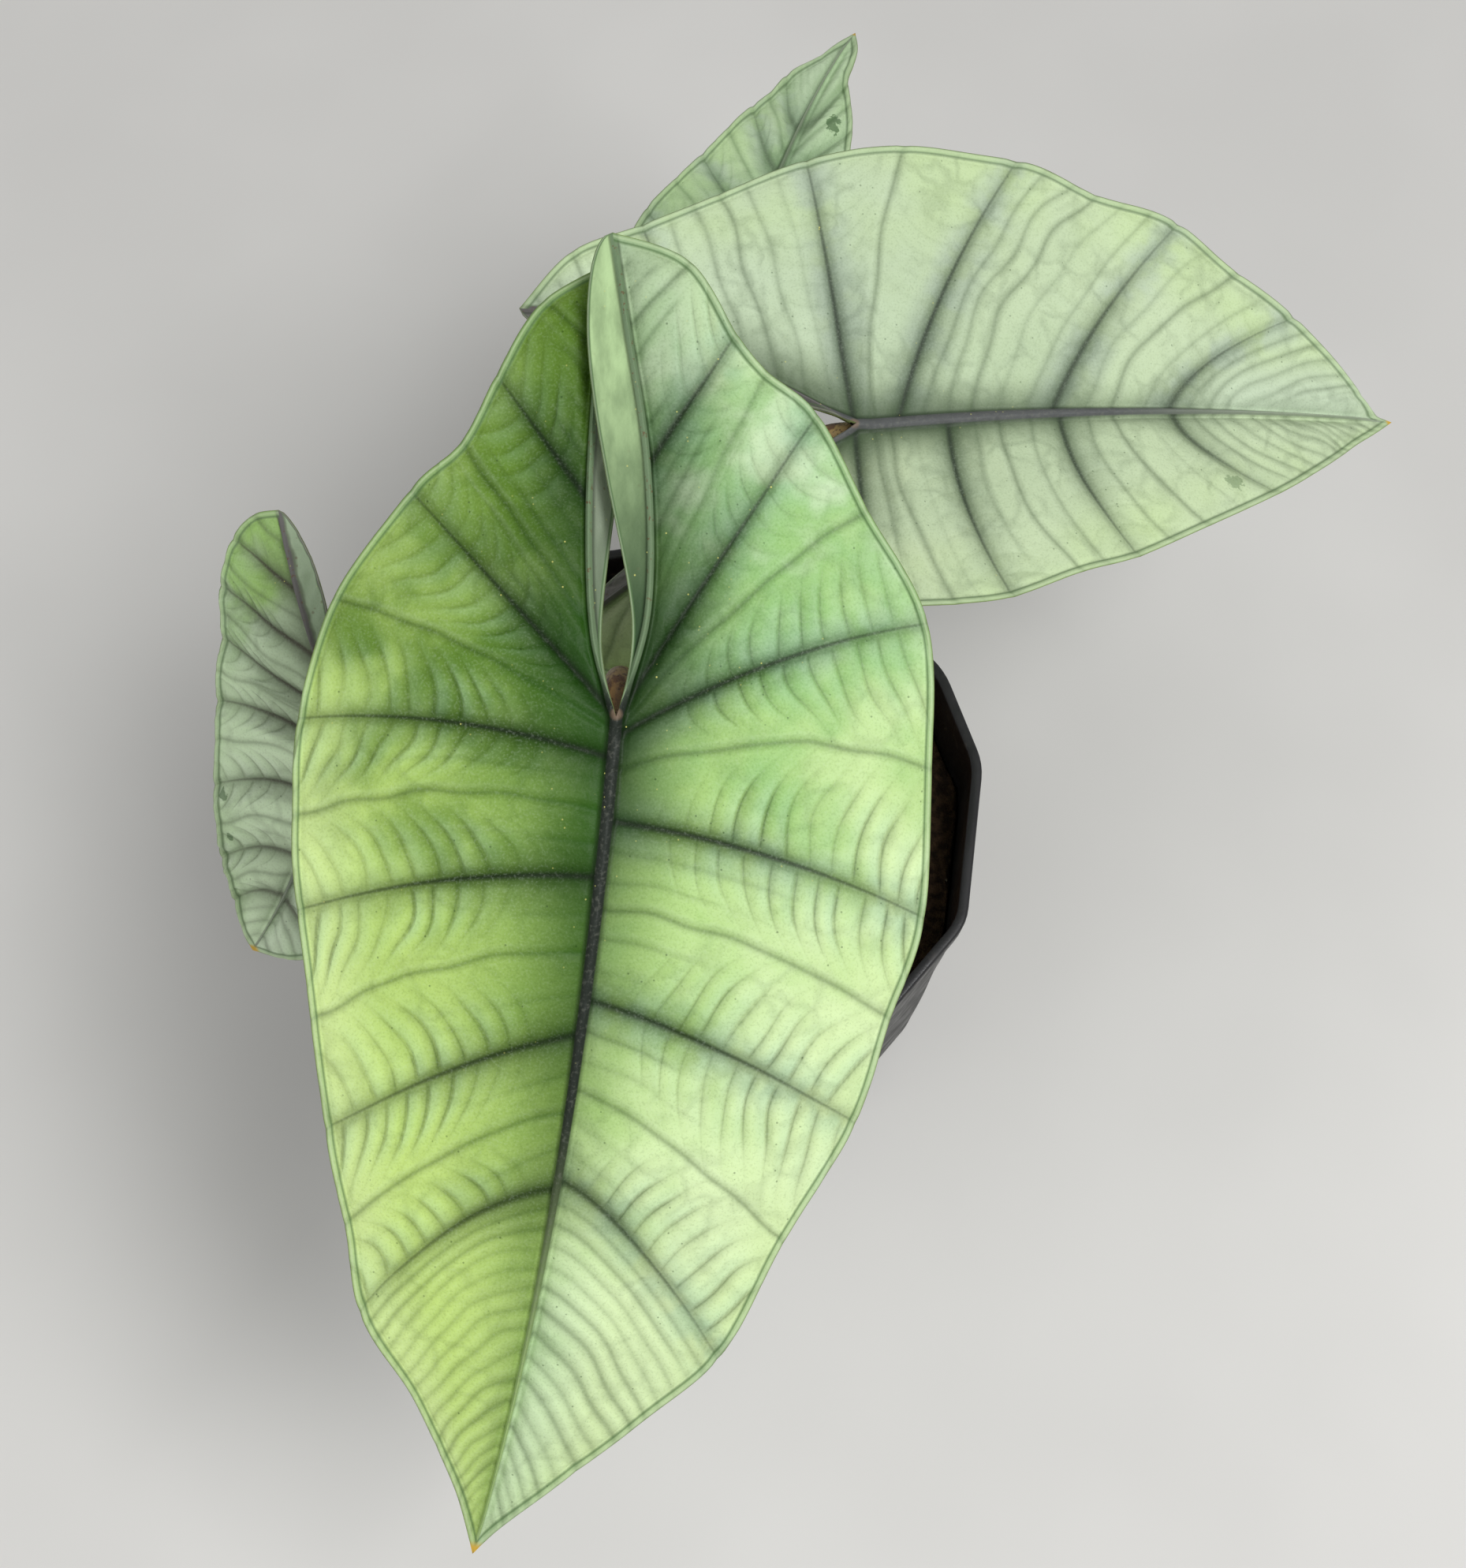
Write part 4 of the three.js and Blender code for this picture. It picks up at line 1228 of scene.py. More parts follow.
def scale_layers(finish, tones, colour):
    """The arcs round the main veins, like overlapping scales: painted highlight at one end, painted shade
    at the other.
    """
    arcs, strength = finish.attribute("arcs"), finish.attribute("arc_strength")
    ramp = finish.math("FRACT", arcs)
    pale = finish.times(finish.step(ramp, 0.8, 0.2), finish.step(ramp, 0.0, 0.14), strength)
    dark = finish.times(finish.step(ramp, 0.55, 1.0), strength)
    core = finish.times(finish.lines(arcs, ARC_SPACING, 0.6), strength)
    # Pale is a painted highlight on the raised side of each scale, dark a painted shade on its sunken side;
    # the core is the arc vein.
    colour = finish.mix(finish.times(pale, 0.36), colour, tones["silver"])
    colour = finish.mix(finish.times(dark, 0.42), colour, tones["deep"])
    colour = finish.mix(finish.times(core, 0.55), colour, tones["deep"])
    height = finish.times(finish.less(ramp), finish.step(ramp, 0.0, 0.2), strength, 0.5)
    return colour, height


# %% [markdown]
# The rib, the rolled edge, the folded strips of the lobes, the painted highlight where the stalk joins
# the rib and the few dark blemishes each lie at a known place. Masks could be painted for them, but
# their distances in mm are already on the mesh, and a step between two distances gives a band with a
# soft border.

# %% Layers of the rolled edge


def rim_layers(finish, tones, colour):
    """The rolled edge from inside to outside: a dark line, a pale band, a white line, an olive edge."""
    edge_mm, strip = finish.attribute("edge_mm"), finish.attribute("strip")
    band = finish.mix(strip, finish.mix(0.5, tones["rim"], colour), tones["costa"])
    colour = finish.mix(finish.step(edge_mm, 2.0, 1.35, 0.0, 0.8), colour, tones["rim_line"])
    colour = finish.mix(finish.step(edge_mm, 1.4, 1.05), colour, band)
    off_line = finish.math("ABSOLUTE", finish.math("SUBTRACT", edge_mm, 0.65))
    colour = finish.mix(finish.step(off_line, 0.35, 0.05, 0.0, 0.28), colour, rgb(206, 222, 178))
    return finish.mix(finish.step(edge_mm, 0.3, 0.05, 0.0, 0.7), colour, rgb(112, 128, 62))


# %% Layers of the rib


def rib_layers(finish, tones, colour, along):
    """The raised rib, charcoal near the stalk and greener to the tip, with a painted shade beside it."""
    rib_share = finish.math("DIVIDE", finish.attribute("rib_mm"), finish.attribute("rib_half"))
    tone = finish.mix(finish.step(along, 0.4, 0.85), tones["rib"], tones["rib_tip"])
    # The pale flecks on the rib are a painted dotted highlight.
    flecks = finish.step(finish.noise(0.9, 3), 0.5, 0.72, 0.0, 0.25)
    tone = finish.mix(flecks, tone, rgb(120, 122, 112))
    tone = finish.mix(finish.step(along, -0.01, -0.06), tone, tones["costa"])
    brown = finish.times(finish.step(along, -0.05, -0.15), finish.step(finish.noise(1.1, 3), 0.6, 0.68))
    tone = finish.mix(finish.times(brown, 0.7), tone, rgb(104, 76, 52))
    # Beside is a painted shade along the foot of the raised rib.
    beside = finish.times(finish.step(rib_share, 2.2, 1.2), finish.step(along, 0.2, 0.8, 0.6, 0.1))
    colour = finish.mix(beside, colour, tones["vein"])
    return finish.mix(finish.step(rib_share, 1.25, 0.85), colour, tone)


# %% Blemishes, joint highlight and strips


def blemish_layer(finish, tones, colour):
    """Dark green patches with ragged edges, each with its s, t, half length, half width and depth."""
    for s, t, half_length, half_width, depth in tones["blemishes"]:
        along = finish.times(finish.plus(finish.attribute("flat_s"), -s), 1 / half_length)
        aside = finish.times(finish.plus(finish.attribute("flat_t"), -t), 1 / half_width)
        square = finish.plus(finish.times(along, along), finish.times(aside, aside))
        ragged = finish.plus(square, finish.step(finish.noise(1.6, 3), 0.3, 0.7, -0.8, 0.8))
        colour = finish.mix(finish.step(ragged, 1.1, 0.7, 0.0, depth), colour, rgb(48, 88, 38))
    return colour


def joint_layer(finish, tones, colour):
    """The small pale pinkish spot where the stalk joins the rib: a painted highlight on its knuckle."""
    s, t = finish.attribute("flat_s"), finish.attribute("flat_t")
    s = finish.plus(s, 0.5)
    square = finish.plus(finish.times(s, s), finish.times(t, t))
    return finish.mix(finish.step(square, 2.2, 0.3, 0.0, 0.6), colour, tones["joint"])


def strip_layers(finish, tones, right):
    """The folded inner edge of a lobe: smooth satin with a painted sheen up the lobe, greyer towards the
    stalk.
    """
    up_the_lobe = finish.step(finish.attribute("flat_s"), -14, -78)
    # The streaks on the upper part of each strip are a painted sheen.
    sheen_streaks = finish.step(finish.noise(3, 4, stretch=(1, 0.15, 1)), 0.3, 0.7, 0.62, 1.0)
    light = finish.mix(right, *tones["strip_sheen"])
    colour = finish.mix(finish.times(up_the_lobe, sheen_streaks), finish.mix(right, *tones["strip"]), light)
    stains = finish.times(finish.specks(1.8, 0.45, 0.3), finish.step(right, 0, 1, 0.5, 0.12))
    return finish.mix(stains, colour, rgb(104, 84, 60))


# %% [markdown]
# The ground tones of a real blade change slowly: deep green at the sinus, lime at the tip and edge,
# silver where the skin stands off the flesh, with a painted sheen over the silver that is strongest on
# the right half. Slow noise breaks up the borders between them, so that no border looks ruled. Fine
# grain, pores and yellow dust come last, over the veins.

# %% Ground tones of a blade


def ground_layers(finish, tones, along):
    """From lobe to tip, from rib to edge, and the silver cast beside the veins with its painted sheen."""
    out = finish.attribute("out")
    right = finish.attribute("right_half")
    clouds = finish.step(finish.noise(16, 3), 0.3, 0.65, -0.12, 0.12)
    lobe = finish.mix(right, *tones["lobe"])
    lobe_end = finish.mix(right, *tones["lobe_end"])
    lobe = finish.mix(finish.step(finish.plus(along, clouds), -0.12, -0.38), lobe, lobe_end)
    past_sinus = finish.step(finish.plus(along, clouds), -0.25, 0.3)
    colour = finish.mix(past_sinus, lobe, finish.mix(right, *tones["body"]))
    lighter = finish.step(finish.plus(along, finish.times(out, 0.65), clouds), 0.3, 1.05)
    colour = finish.mix(lighter, colour, finish.mix(right, *tones["light"]))
    to_edge = finish.times(finish.step(out, 0.5, 0.95), finish.step(finish.noise(26, 2), 0.3, 0.65))
    colour = finish.mix(finish.times(to_edge, tones["edge_share"]), colour, tones["edge"])
    past_lobe = finish.step(along, -0.1, 0.15)
    margin = finish.times(finish.step(out, 0.68, 0.98), finish.less(right), past_lobe)
    colour = finish.mix(finish.times(margin, tones["margin_share"]), colour, tones["margin"])
    main, unit = finish.attribute("main"), finish.attribute("main_unit")
    # The silver cast is partly the skin's own silver and partly painted sheen, stronger on the right half
    # and along the rib near the tip.
    silver_and_sheen = finish.times(finish.lines(main, unit, 9), finish.step(finish.noise(8, 2), 0.35, 0.62))
    near_rib = finish.step(finish.attribute("rib_mm"), 18, 2)
    tip_sheen = finish.times(near_rib, finish.step(along, 0.5, 0.7, 0.0, 0.66))
    silver_and_sheen = finish.math("MAXIMUM", silver_and_sheen, tip_sheen)
    silver_and_sheen = finish.times(silver_and_sheen, finish.step(right, 0, 1, 0.15, 1.0), tones["silver_and_sheen_share"])
    return finish.mix(silver_and_sheen, colour, tones["silver"])


# %% Shades towards the rib


def shade_beside_rib(finish, tones, along):
    """How deep the dark shade beside the rib is, from 0 to 1; it is partly painted shade."""
    reach = finish.step(along, -0.3, 0.9, tones["halo"], 0.35 * tones["halo"])
    halo = finish.step(finish.math("DIVIDE", finish.attribute("rib_mm"), reach), 1.0, -0.1)
    near_sinus = finish.step(along, -0.5, 0.0, 0.3, 1.0)
    halo = finish.times(halo, near_sinus, finish.step(along, 0.05, 0.75, 1.0, 0.1))
    right = finish.attribute("right_half")
    right_fade = finish.less(finish.step(along, 0.0, 0.25, 1.0, tones["right_halo"]))
    return finish.times(halo, finish.less(finish.times(right, right_fade)))


def painted_shade_of_left_half(finish, tones, along):
    """How deep the painted shade is on the left half towards its rib, from 0 to 1."""
    out, left = finish.attribute("out"), finish.less(finish.attribute("right_half"))
    towards_rib = finish.times(finish.step(out, 0.72, 0.05), left, tones["painted_shade_share"])
    towards_tip = finish.step(along, 0.1, 0.75, 0.58, 0.26)
    return finish.times(towards_rib, towards_tip, finish.step(along, -0.25, 0.0, 0.2, 1.0))


# %% [markdown]
# One recipe now puts the layers in their order: ground, arcs, laterals, net, shade, main veins,
# grain, blemishes, strips, rib, dust, rim and tip. Four materials could be made by hand, but then
# each change would have to be made four times.

# %% Blade finish


def blade_finish(name, tones, tip_s):
    """The upper skin of one blade."""
    finish = Finish(name, roughness=0.5, specular=0.18)
    along = finish.times(finish.attribute("flat_s"), 1 / tip_s)
    right = finish.attribute("right_half")
    colour = ground_layers(finish, tones, along)
    colour, scale_height = scale_layers(finish, tones, colour)
    colour, lateral_height = lateral_layers(finish, tones, colour)
    net = finish.times(finish.net(8, 1.5), finish.step(finish.noise(11, 2), 0.4, 0.6))
    colour = finish.mix(finish.times(net, tones["net"]), colour, tones["deep"])
    halo = shade_beside_rib(finish, tones, along)
    # Dark shade beside the rib: partly the blade's own deep green, partly painted shade.
    colour = finish.mix(halo, colour, tones["deep"])
    # Painted shade on the left half towards its rib.
    colour = finish.mix(painted_shade_of_left_half(finish, tones, along), colour, tones["painted_shade"])
    colour, main_height = main_vein_layers(finish, tones, colour, along)
    grain = finish.noise(0.5, 3)
    colour = finish.mix(finish.step(grain, 0.5, 0.3, 0.0, 0.14), colour, tones["deep"])
    pale_grain = finish.times(finish.step(grain, 0.5, 0.7, 0.0, 0.09), finish.less(halo))
    colour = finish.mix(pale_grain, colour, PALE_VEIN_EDGE)
    colour = finish.mix(finish.times(finish.specks(2.6, 0.3, 0.35), 0.5), colour, tones["deep"])
    colour = blemish_layer(finish, tones, colour)
    colour = finish.mix(finish.attribute("strip"), colour, strip_layers(finish, tones, right))
    colour = rib_layers(finish, tones, colour, along)
    colour = joint_layer(finish, tones, colour)
    main, unit = finish.attribute("main"), finish.attribute("main_unit")
    near_veins = finish.math("MAXIMUM", halo, finish.lines(main, unit, 3))
    towards_sinus = finish.step(along, 0.55, -0.05, 0.0, 0.9)
    dust = finish.times(finish.specks(2.0, 0.24, 0.3), near_veins, towards_sinus)
    colour = finish.mix(dust, colour, rgb(214, 210, 120))
    colour = rim_layers(finish, tones, colour)
    on_tip = finish.step(finish.attribute("tip_mm"), tones["tip"], 0.4 * tones["tip"])
    colour = finish.mix(on_tip, colour, rgb(206, 168, 62))
    finish.set("Base Color", colour)
    soft = finish.plus(finish.times(grain, 0.06), finish.times(finish.noise(2.6, 3), 0.25))
    finish.bump(finish.plus(scale_height, lateral_height, main_height, soft))
    return finish.material


# %% [markdown]
# The lower skin of a leaf is duller and greyer, and its veins stand out instead of in. It could share
# the upper finish, but it has fewer layers and a graph of its own is easier to read.

# %% Underside of the blades


def underside_finish(name):
    """The lower skin: paler, greyer, with raised veins."""
    finish = Finish(name, roughness=0.55, specular=0.3)
    main, main_unit = finish.attribute("main"), finish.attribute("main_unit")
    wide = finish.times(finish.lines(main, main_unit, 1.6), finish.attribute("main_strength"))
    laterals = finish.lines(finish.attribute("lateral"), finish.attribute("lateral_unit"), 0.6)
    laterals = finish.times(laterals, finish.attribute("lateral_strength"), 0.5)
    arcs = finish.lines(finish.attribute("arcs"), ARC_SPACING, 0.6)
    arcs = finish.times(arcs, finish.attribute("arc_strength"), 0.35)
    cloud = finish.step(finish.noise(14, 3), 0.35, 0.65)
    colour = finish.mix(cloud, rgb(128, 156, 112), rgb(150, 176, 132))
    net = finish.math("MAXIMUM", wide, finish.math("MAXIMUM", laterals, arcs))
    colour = finish.mix(net, colour, rgb(96, 112, 78))
    on_rib = finish.step(finish.attribute("rib_mm"), 2.4, 1.6)
    colour = finish.mix(on_rib, colour, rgb(112, 104, 82))
    finish.set("Base Color", colour)
    finish.bump(finish.plus(finish.times(net, 0.3), finish.times(finish.noise(0.8, 2), 0.1)))
    return finish.material


# %% [markdown]
# Each blade is now built from its drawing, its tones and a grid that is as fine as its size asks. A
# subdivision modifier could smooth a coarse grid, but it would also smooth the creases away.

# %% Build the four blades
UNDERSIDE = underside_finish("blade_underside")
for leaf, slot_name, tones, steps, columns in (
    (FRONT, "green_blade", FRONT_TONES, 18, 70),
    (RIGHT, "silver_blade", RIGHT_TONES, 18, 60),
    (BACK, "green_blade", BACK_TONES, 12, 40),
    (LEFT, "green_blade", LEFT_TONES, 12, 44),
):
    tip_s = leaf["right"]["rays"][-1][0]
    skin = blade_finish(leaf["name"] + "_skin", tones, tip_s)
    place_piece(build_blade(leaf, steps, columns, [skin, UNDERSIDE]), slot_name, leaf["name"])

# %% [markdown]
# A leaf stalk is a smooth round rod, thick below and slim above. Its skin is pale with a brown and
# purple mottle. At its foot it opens into a sheath that wraps the next stalk. A curve with a bevel
# would give the rod but not the sheath, so both are built from rings of points along one path.

# %% Ways of the stalks
STALK_CIRCLE, STALK_FOOT, CROWN_TOP = 8.6, 80.3, 95
STALK_RADII = (5, 3)
STALKS = {
    "front": {"leaf": FRONT, "from": 270, "way": [(-3, -10.5, 130), (-7, -16, 185), (-9, -18.5, 209)]},
    "right": {"leaf": RIGHT, "from": 8, "way": [(13, 8, 125), (22, 25, 163)]},
    "back": {"leaf": BACK, "from": 86, "way": [(2, 20, 125), (5, 50, 157)]},
    "left": {"leaf": LEFT, "from": 184, "way": [(-15, -1, 114), (-39, -2, 142)]},
}


def path_through(points, count):
    """A smooth path through points, as count + 1 points at equal distances."""
    points = [np.array(point, float) for point in points]
    points = [2 * points[0] - points[1], *points, 2 * points[-1] - points[-2]]
    path = []
    for a, b, c, d in zip(points[:-3], points[1:-2], points[2:-1], points[3:]):
        times = np.cumsum([0, *(np.linalg.norm(q - p) ** 0.5 for p, q in ((a, b), (b, c), (c, d)))])
        for time in np.linspace(times[1], times[2], 60):
            lines = [
                blend(p, q, (time - start) / (end - start))
                for p, q, start, end in zip((a, b, c), (b, c, d), times[:3], times[1:])
            ]
            bows = [
                blend(lines[i], lines[i + 1], (time - times[i]) / (times[i + 2] - times[i]))
                for i in range(2)
            ]
            path.append(blend(bows[0], bows[1], (time - times[1]) / (times[2] - times[1])))
    path = np.array(path)
    gone = np.concatenate([[0], np.cumsum(np.linalg.norm(np.diff(path, axis=0), axis=1))])
    even = np.linspace(0, gone[-1], count + 1)
    return np.stack([np.interp(even, gone, path[:, axis]) for axis in range(3)], 1)


# %% Way of one stalk


def stalk_path(stalk, count):
    """The way of a stalk from the crown to the underside of its blade."""
    angle = stalk["from"] * DEGREE
    x, y = STALK_CIRCLE * math.cos(angle), STALK_CIRCLE * math.sin(angle)
    leaf, half = stalk["leaf"], stalk["leaf"]["right"]
    under_rib = -(THICKNESS + RIB_UNDER + 0.3)
    approach = 7
    ends = [(-approach, under_rib - approach), (2, under_rib)]
    at_blade = [place_on_blade(leaf, half, np.array(s), np.array(0.0), h) for s, h in ends]
    foot = [(x, y, STALK_FOOT), (1.05 * x, 1.05 * y, CROWN_TOP + 2)]
    return path_through([*foot, *stalk["way"], *at_blade], count)


for name, stalk in STALKS.items():
    steps_between = np.diff(stalk_path(stalk, 40), axis=0)
    print(name, "stalk is", round(np.linalg.norm(steps_between, axis=1).sum()), "mm long")


# %% [markdown]
# Rings of points need a steady sense of direction along a bent path, or the rod would twist like a
# rope. Here each ring faces the middle of the plant, and the last ones turn flat under the blade.

# %% Rod of a stalk
STALK_SIDES, STALK_STEPS = 24, 110
PLANT_MIDDLE = (0, 0, 140)


def side_frames(path, toward, last_facing=None):
    """Two directions across a path at each point; the first points towards a place."""
    tangent = np.gradient(path, axis=0)
    tangent /= np.linalg.norm(tangent, axis=1)[:, None]
    if last_facing is not None:
        share = np.linspace(0, 1, len(path))[:, None]
        tangent = blend(tangent, last_facing, soft_step(share, 0.9, 1))
        tangent /= np.linalg.norm(tangent, axis=1)[:, None]
    inward = np.asarray(toward) - path
    inward -= (inward * tangent).sum(1)[:, None] * tangent
    inward /= np.linalg.norm(inward, axis=1)[:, None]
    return inward, np.cross(tangent, inward)


def tube_faces(rings, sides, start=0, closed=True):
    """Faces between rings of points, and a flat face on both ends where it is closed."""
    faces = []
    for ring in range(rings - 1):
        low = start + ring * sides
        for i in range(sides):
            j = (i + 1) % sides
            faces.append((low + i, low + j, low + j + sides, low + i + sides))
    if closed:
        last = start + (rings - 1) * sides
        faces.append(tuple(start + i for i in reversed(range(sides))))
        faces.append(tuple(last + i for i in range(sides)))
    return faces


# %% Rings of the rod


def ring_points(path, radius, turn, inward, other):
    """Points round each point of a path, at a radius and an angle from the inward direction."""
    around = np.cos(turn)[..., None] * inward[:, None] + np.sin(turn)[..., None] * other[:, None]
    return path[:, None] + radius[..., None] * around


def stalk_rod(path, blade_normal, seed):
    """Rings of the rod: slimmer upwards, slightly uneven, and flat where the blade rests."""
    share = np.linspace(0, 1, len(path))[:, None]
    inward, other = side_frames(path, PLANT_MIDDLE, blade_normal)
    turn = np.linspace(0, 2 * math.pi, STALK_SIDES, endpoint=False)[None]
    radius = blend(*STALK_RADII, share**0.8) * 0.97
    channel = 1 - 0.07 * hump(np.cos(turn) - 1, 0.35)
    uneven = 1 + 0.02 * soft_waves(90 * share, 3 * turn, 14, seed)
    return ring_points(path, radius * channel * uneven, turn, inward, other)


# %% [markdown]
# The sheath is a thin leaf of its own that wraps the foot of the rod and opens upwards. It is made of
# an outer and an inner layer, because a single sheet would have no thickness.

# %% Sheath of a stalk
SHEATH_FOOT, SHEATH_TOP = 0.02, 0.36  # shares of the way up the stalk
SHEATH_ROWS, SHEATH_ACROSS = 36, 30


def stalk_sheath(path, seed):
    """The sheath at the foot: a thin leaf rolled round the rod, open towards the plant's middle."""
    rows, across = SHEATH_ROWS, SHEATH_ACROSS
    foot, top = SHEATH_FOOT, SHEATH_TOP
    place = np.linspace(foot, top, rows) * (len(path) - 1)
    centre = np.stack([np.interp(place, np.arange(len(path)), path[:, axis]) for axis in range(3)], 1)
    inward, other = side_frames(centre, PLANT_MIDDLE)
    up = np.linspace(0, 1, rows)[:, None]
    half_open = blend(0.25, 2.75, up**1.6)
    turn = half_open + np.linspace(0, 1, across)[None] * (2 * math.pi - 2 * half_open)
    to_margin = np.abs(np.linspace(-1, 1, across))[None] ** 6
    rod = blend(*STALK_RADII, (foot + up * (top - foot)) ** 0.8)
    layers = []
    for thick in (0.75, 0.2):
        flare = 1.6 * to_margin * np.sin(math.pi * up) + 0.25 * soft_waves(8 * up, 3 * turn, 5, seed) * up
        layers.append(ring_points(centre, rod + thick + flare, turn, inward, other))
    outer, inner = layers
    return np.concatenate([outer, inner[:, ::-1]], 1)


# %% Rod and sheath together


def build_stalk(name, stalk, materials):
    """A rod and its sheath in one piece."""
    path = stalk_path(stalk, STALK_STEPS)
    seed = sum(map(ord, name))
    leaf, seat = stalk["leaf"], (np.array(2.0), np.array(0.0))
    foot_of_normal, head_of_normal = (place_on_blade(leaf, leaf["right"], *seat, h) for h in (0, 1))
    rod = stalk_rod(path, head_of_normal - foot_of_normal, seed)
    sheath = stalk_sheath(path, seed)
    rod_faces = tube_faces(*rod.shape[:2])
    start = rod.shape[0] * rod.shape[1]
    sheath_faces = tube_faces(*sheath.shape[:2], start, closed=False)
    low, high = start, start + (sheath.shape[0] - 1) * sheath.shape[1]
    half = sheath.shape[1] // 2
    for base, flip in ((low, True), (high, False)):
        for i in range(half - 1):
            ends = (base + i, base + i + 1, base + 2 * half - 2 - i, base + 2 * half - 1 - i)
            sheath_faces.append(ends[::-1] if flip else ends)
    points = np.concatenate([rod.reshape(-1, 3), sheath.reshape(-1, 3)])
    kinds = [0] * len(rod_faces) + [1] * len(sheath_faces)
    return add_piece(name, points, rod_faces + sheath_faces, materials, kinds)


# %% [markdown]
# Stalks of this plant are mottled: soft cross bands of brown on a paler ground, with fine dark specks.
# Noise that is squeezed along the stalk gives the bands, and stretched noise the fibres of the sheath.

# %% Stalk finishes and build


def stalk_finish():
    """Satin skin with brown cross bands and dark specks."""
    finish = Finish("stalk_skin", roughness=0.42, specular=0.45)
    cloud = finish.step(finish.noise(12, 3), 0.35, 0.65)
    colour = finish.mix(cloud, rgb(164, 138, 92), rgb(142, 110, 74))
    bands = finish.step(finish.noise(3.2, 3, (1, 1, 2.6)), 0.5, 0.6)
    colour = finish.mix(finish.times(bands, 0.75), colour, rgb(84, 56, 52))
    fine = finish.step(finish.noise(0.9, 2, (1, 1, 1.8)), 0.56, 0.66)
    colour = finish.mix(finish.times(fine, 0.6), colour, rgb(52, 34, 32))
    finish.set("Base Color", colour)
    fibres = finish.times(finish.noise(1.5, 2, (1, 1, 0.15)), 0.12)
    finish.bump(finish.plus(fibres, finish.times(fine, 0.05)))
    return finish.material


def sheath_finish():
    """Drier skin with long fibres and purple spots."""
    finish = Finish("sheath_skin", roughness=0.5, specular=0.35)
    fibres = finish.noise(1.1, 3, (1, 1, 0.07))
    colour = finish.mix(finish.step(fibres, 0.35, 0.65), rgb(128, 112, 84), rgb(96, 66, 58))
    spots = finish.step(finish.noise(2.2, 3, (1, 1, 2)), 0.54, 0.62)
    colour = finish.mix(finish.times(spots, 0.6), colour, rgb(66, 42, 40))
    finish.set("Base Color", colour)
    finish.bump(finish.times(fibres, 0.3))
    return finish.material


stalk_skin, sheath_skin = stalk_finish(), sheath_finish()
for place, stalk in STALKS.items():
    name = "stalk_" + place
    place_piece(build_stalk(name, stalk, [stalk_skin, sheath_skin]), "stalk_skin", name)

# %% [markdown]
# The crown is the short stem that all stalks grow from. Old leaves have left rings of scars and brown
# papery tatters on it. A noisy cylinder would look like a cork, so the scars are set as real steps in
# its outline, and the tatters are thin curved blades that stand round the stalks.

# %% Stump of the crown
CROWN_RADIUS, CROWN_BOTTOM = 17, 62


def crown_stump():
    """Rings of the short stem, stepped by its leaf scars and domed on top."""
    rings, sides = 60, 72
    up = np.linspace(0, 1, rings)[:, None]
    turn = np.linspace(0, 2 * math.pi, sides, endpoint=False)[None]
    scar = (up * 5 + 0.12 * np.sin(2 * turn + 9 * up)) % 1
    steps = 0.9 * scar**3
    outline = CROWN_RADIUS * np.interp(up, [0, 0.25, 0.5, 0.75, 1], [0.8, 0.97, 0.98, 0.93, 0.8])
    dome = np.sqrt(np.clip((1 - up) / 0.12, 0, 1))
    lumps = 0.5 * soft_waves(17 * np.cos(turn) + 0 * up, 17 * np.sin(turn) + 40 * up, 9, 71)
    radius = (outline - 1 + steps + lumps) * blend(0.12, 1, dome)
    z = CROWN_BOTTOM + (CROWN_TOP - CROWN_BOTTOM) * up + 1.2 * (1 - dome) + 0 * turn
    return np.stack([radius * np.cos(turn), radius * np.sin(turn), z], -1)


# %% [markdown]
# The tatters are what is left of old sheaths: thin, dry and torn to points. A simulation could drape
# them, but at this size a bent sheet with a tapering outline does as well.

# %% Dry tatters of the crown
TATTER_COUNT, TATTER_FOOT, TATTER_RADIUS = 11, 84, 15.2


def crown_tatters(draw):
    """Thin dry blades round the stalks, each pointed, bent and a little torn."""
    rows, across = 14, 10
    sheets = []
    turns = np.linspace(0, 2 * math.pi, TATTER_COUNT, endpoint=False)
    for turn in turns + draw.uniform(-0.2, 0.2, TATTER_COUNT):
        height, width = draw.uniform(10, 24), draw.uniform(0.32, 0.6)
        up = np.linspace(0, 1, rows)[:, None]
        side = np.linspace(-1, 1, across)[None]
        taper = np.sqrt(1 - up**1.5 * 0.995)
        angle = turn + side * width * taper + 0.06 * np.sin(9 * up + turn)
        leaning = 2.4 * up**2 * draw.uniform(-0.5, 1)
        radius = TATTER_RADIUS + leaning + 0.5 * np.sin(5 * side + 6 * up)
        z = TATTER_FOOT + height * up + 0.7 * np.sin(7 * side + turn) * up
        outer = np.stack([radius * np.cos(angle), radius * np.sin(angle), z], -1)
        inner = np.stack([(radius - 0.5) * np.cos(angle), (radius - 0.5) * np.sin(angle), z], -1)
        sheets.append(np.concatenate([outer, inner[:, ::-1]], 1))
    return sheets


# %% [markdown]
# Old stem and dry sheaths are both fibrous and brown, so one finish serves them: fibres from noise
# that is stretched upwards, with darker damp stains over them.

# %% Crown finish and build


def crown_finish():
    """Fibrous brown skin with damp stains."""
    finish = Finish("crown_skin", roughness=0.8, specular=0.25)
    fibres = finish.noise(1.6, 4, (1, 1, 0.12))
    colour = finish.mix(finish.step(fibres, 0.3, 0.7), rgb(70, 52, 36), rgb(124, 100, 68))
    stains = finish.step(finish.noise(6, 3), 0.45, 0.7)
    colour = finish.mix(finish.times(stains, 0.7), colour, rgb(48, 36, 26))
    finish.set("Base Color", colour)
    finish.bump(finish.plus(finish.times(fibres, 0.5), finish.times(finish.noise(0.8, 3), 0.2)))
    return finish.material


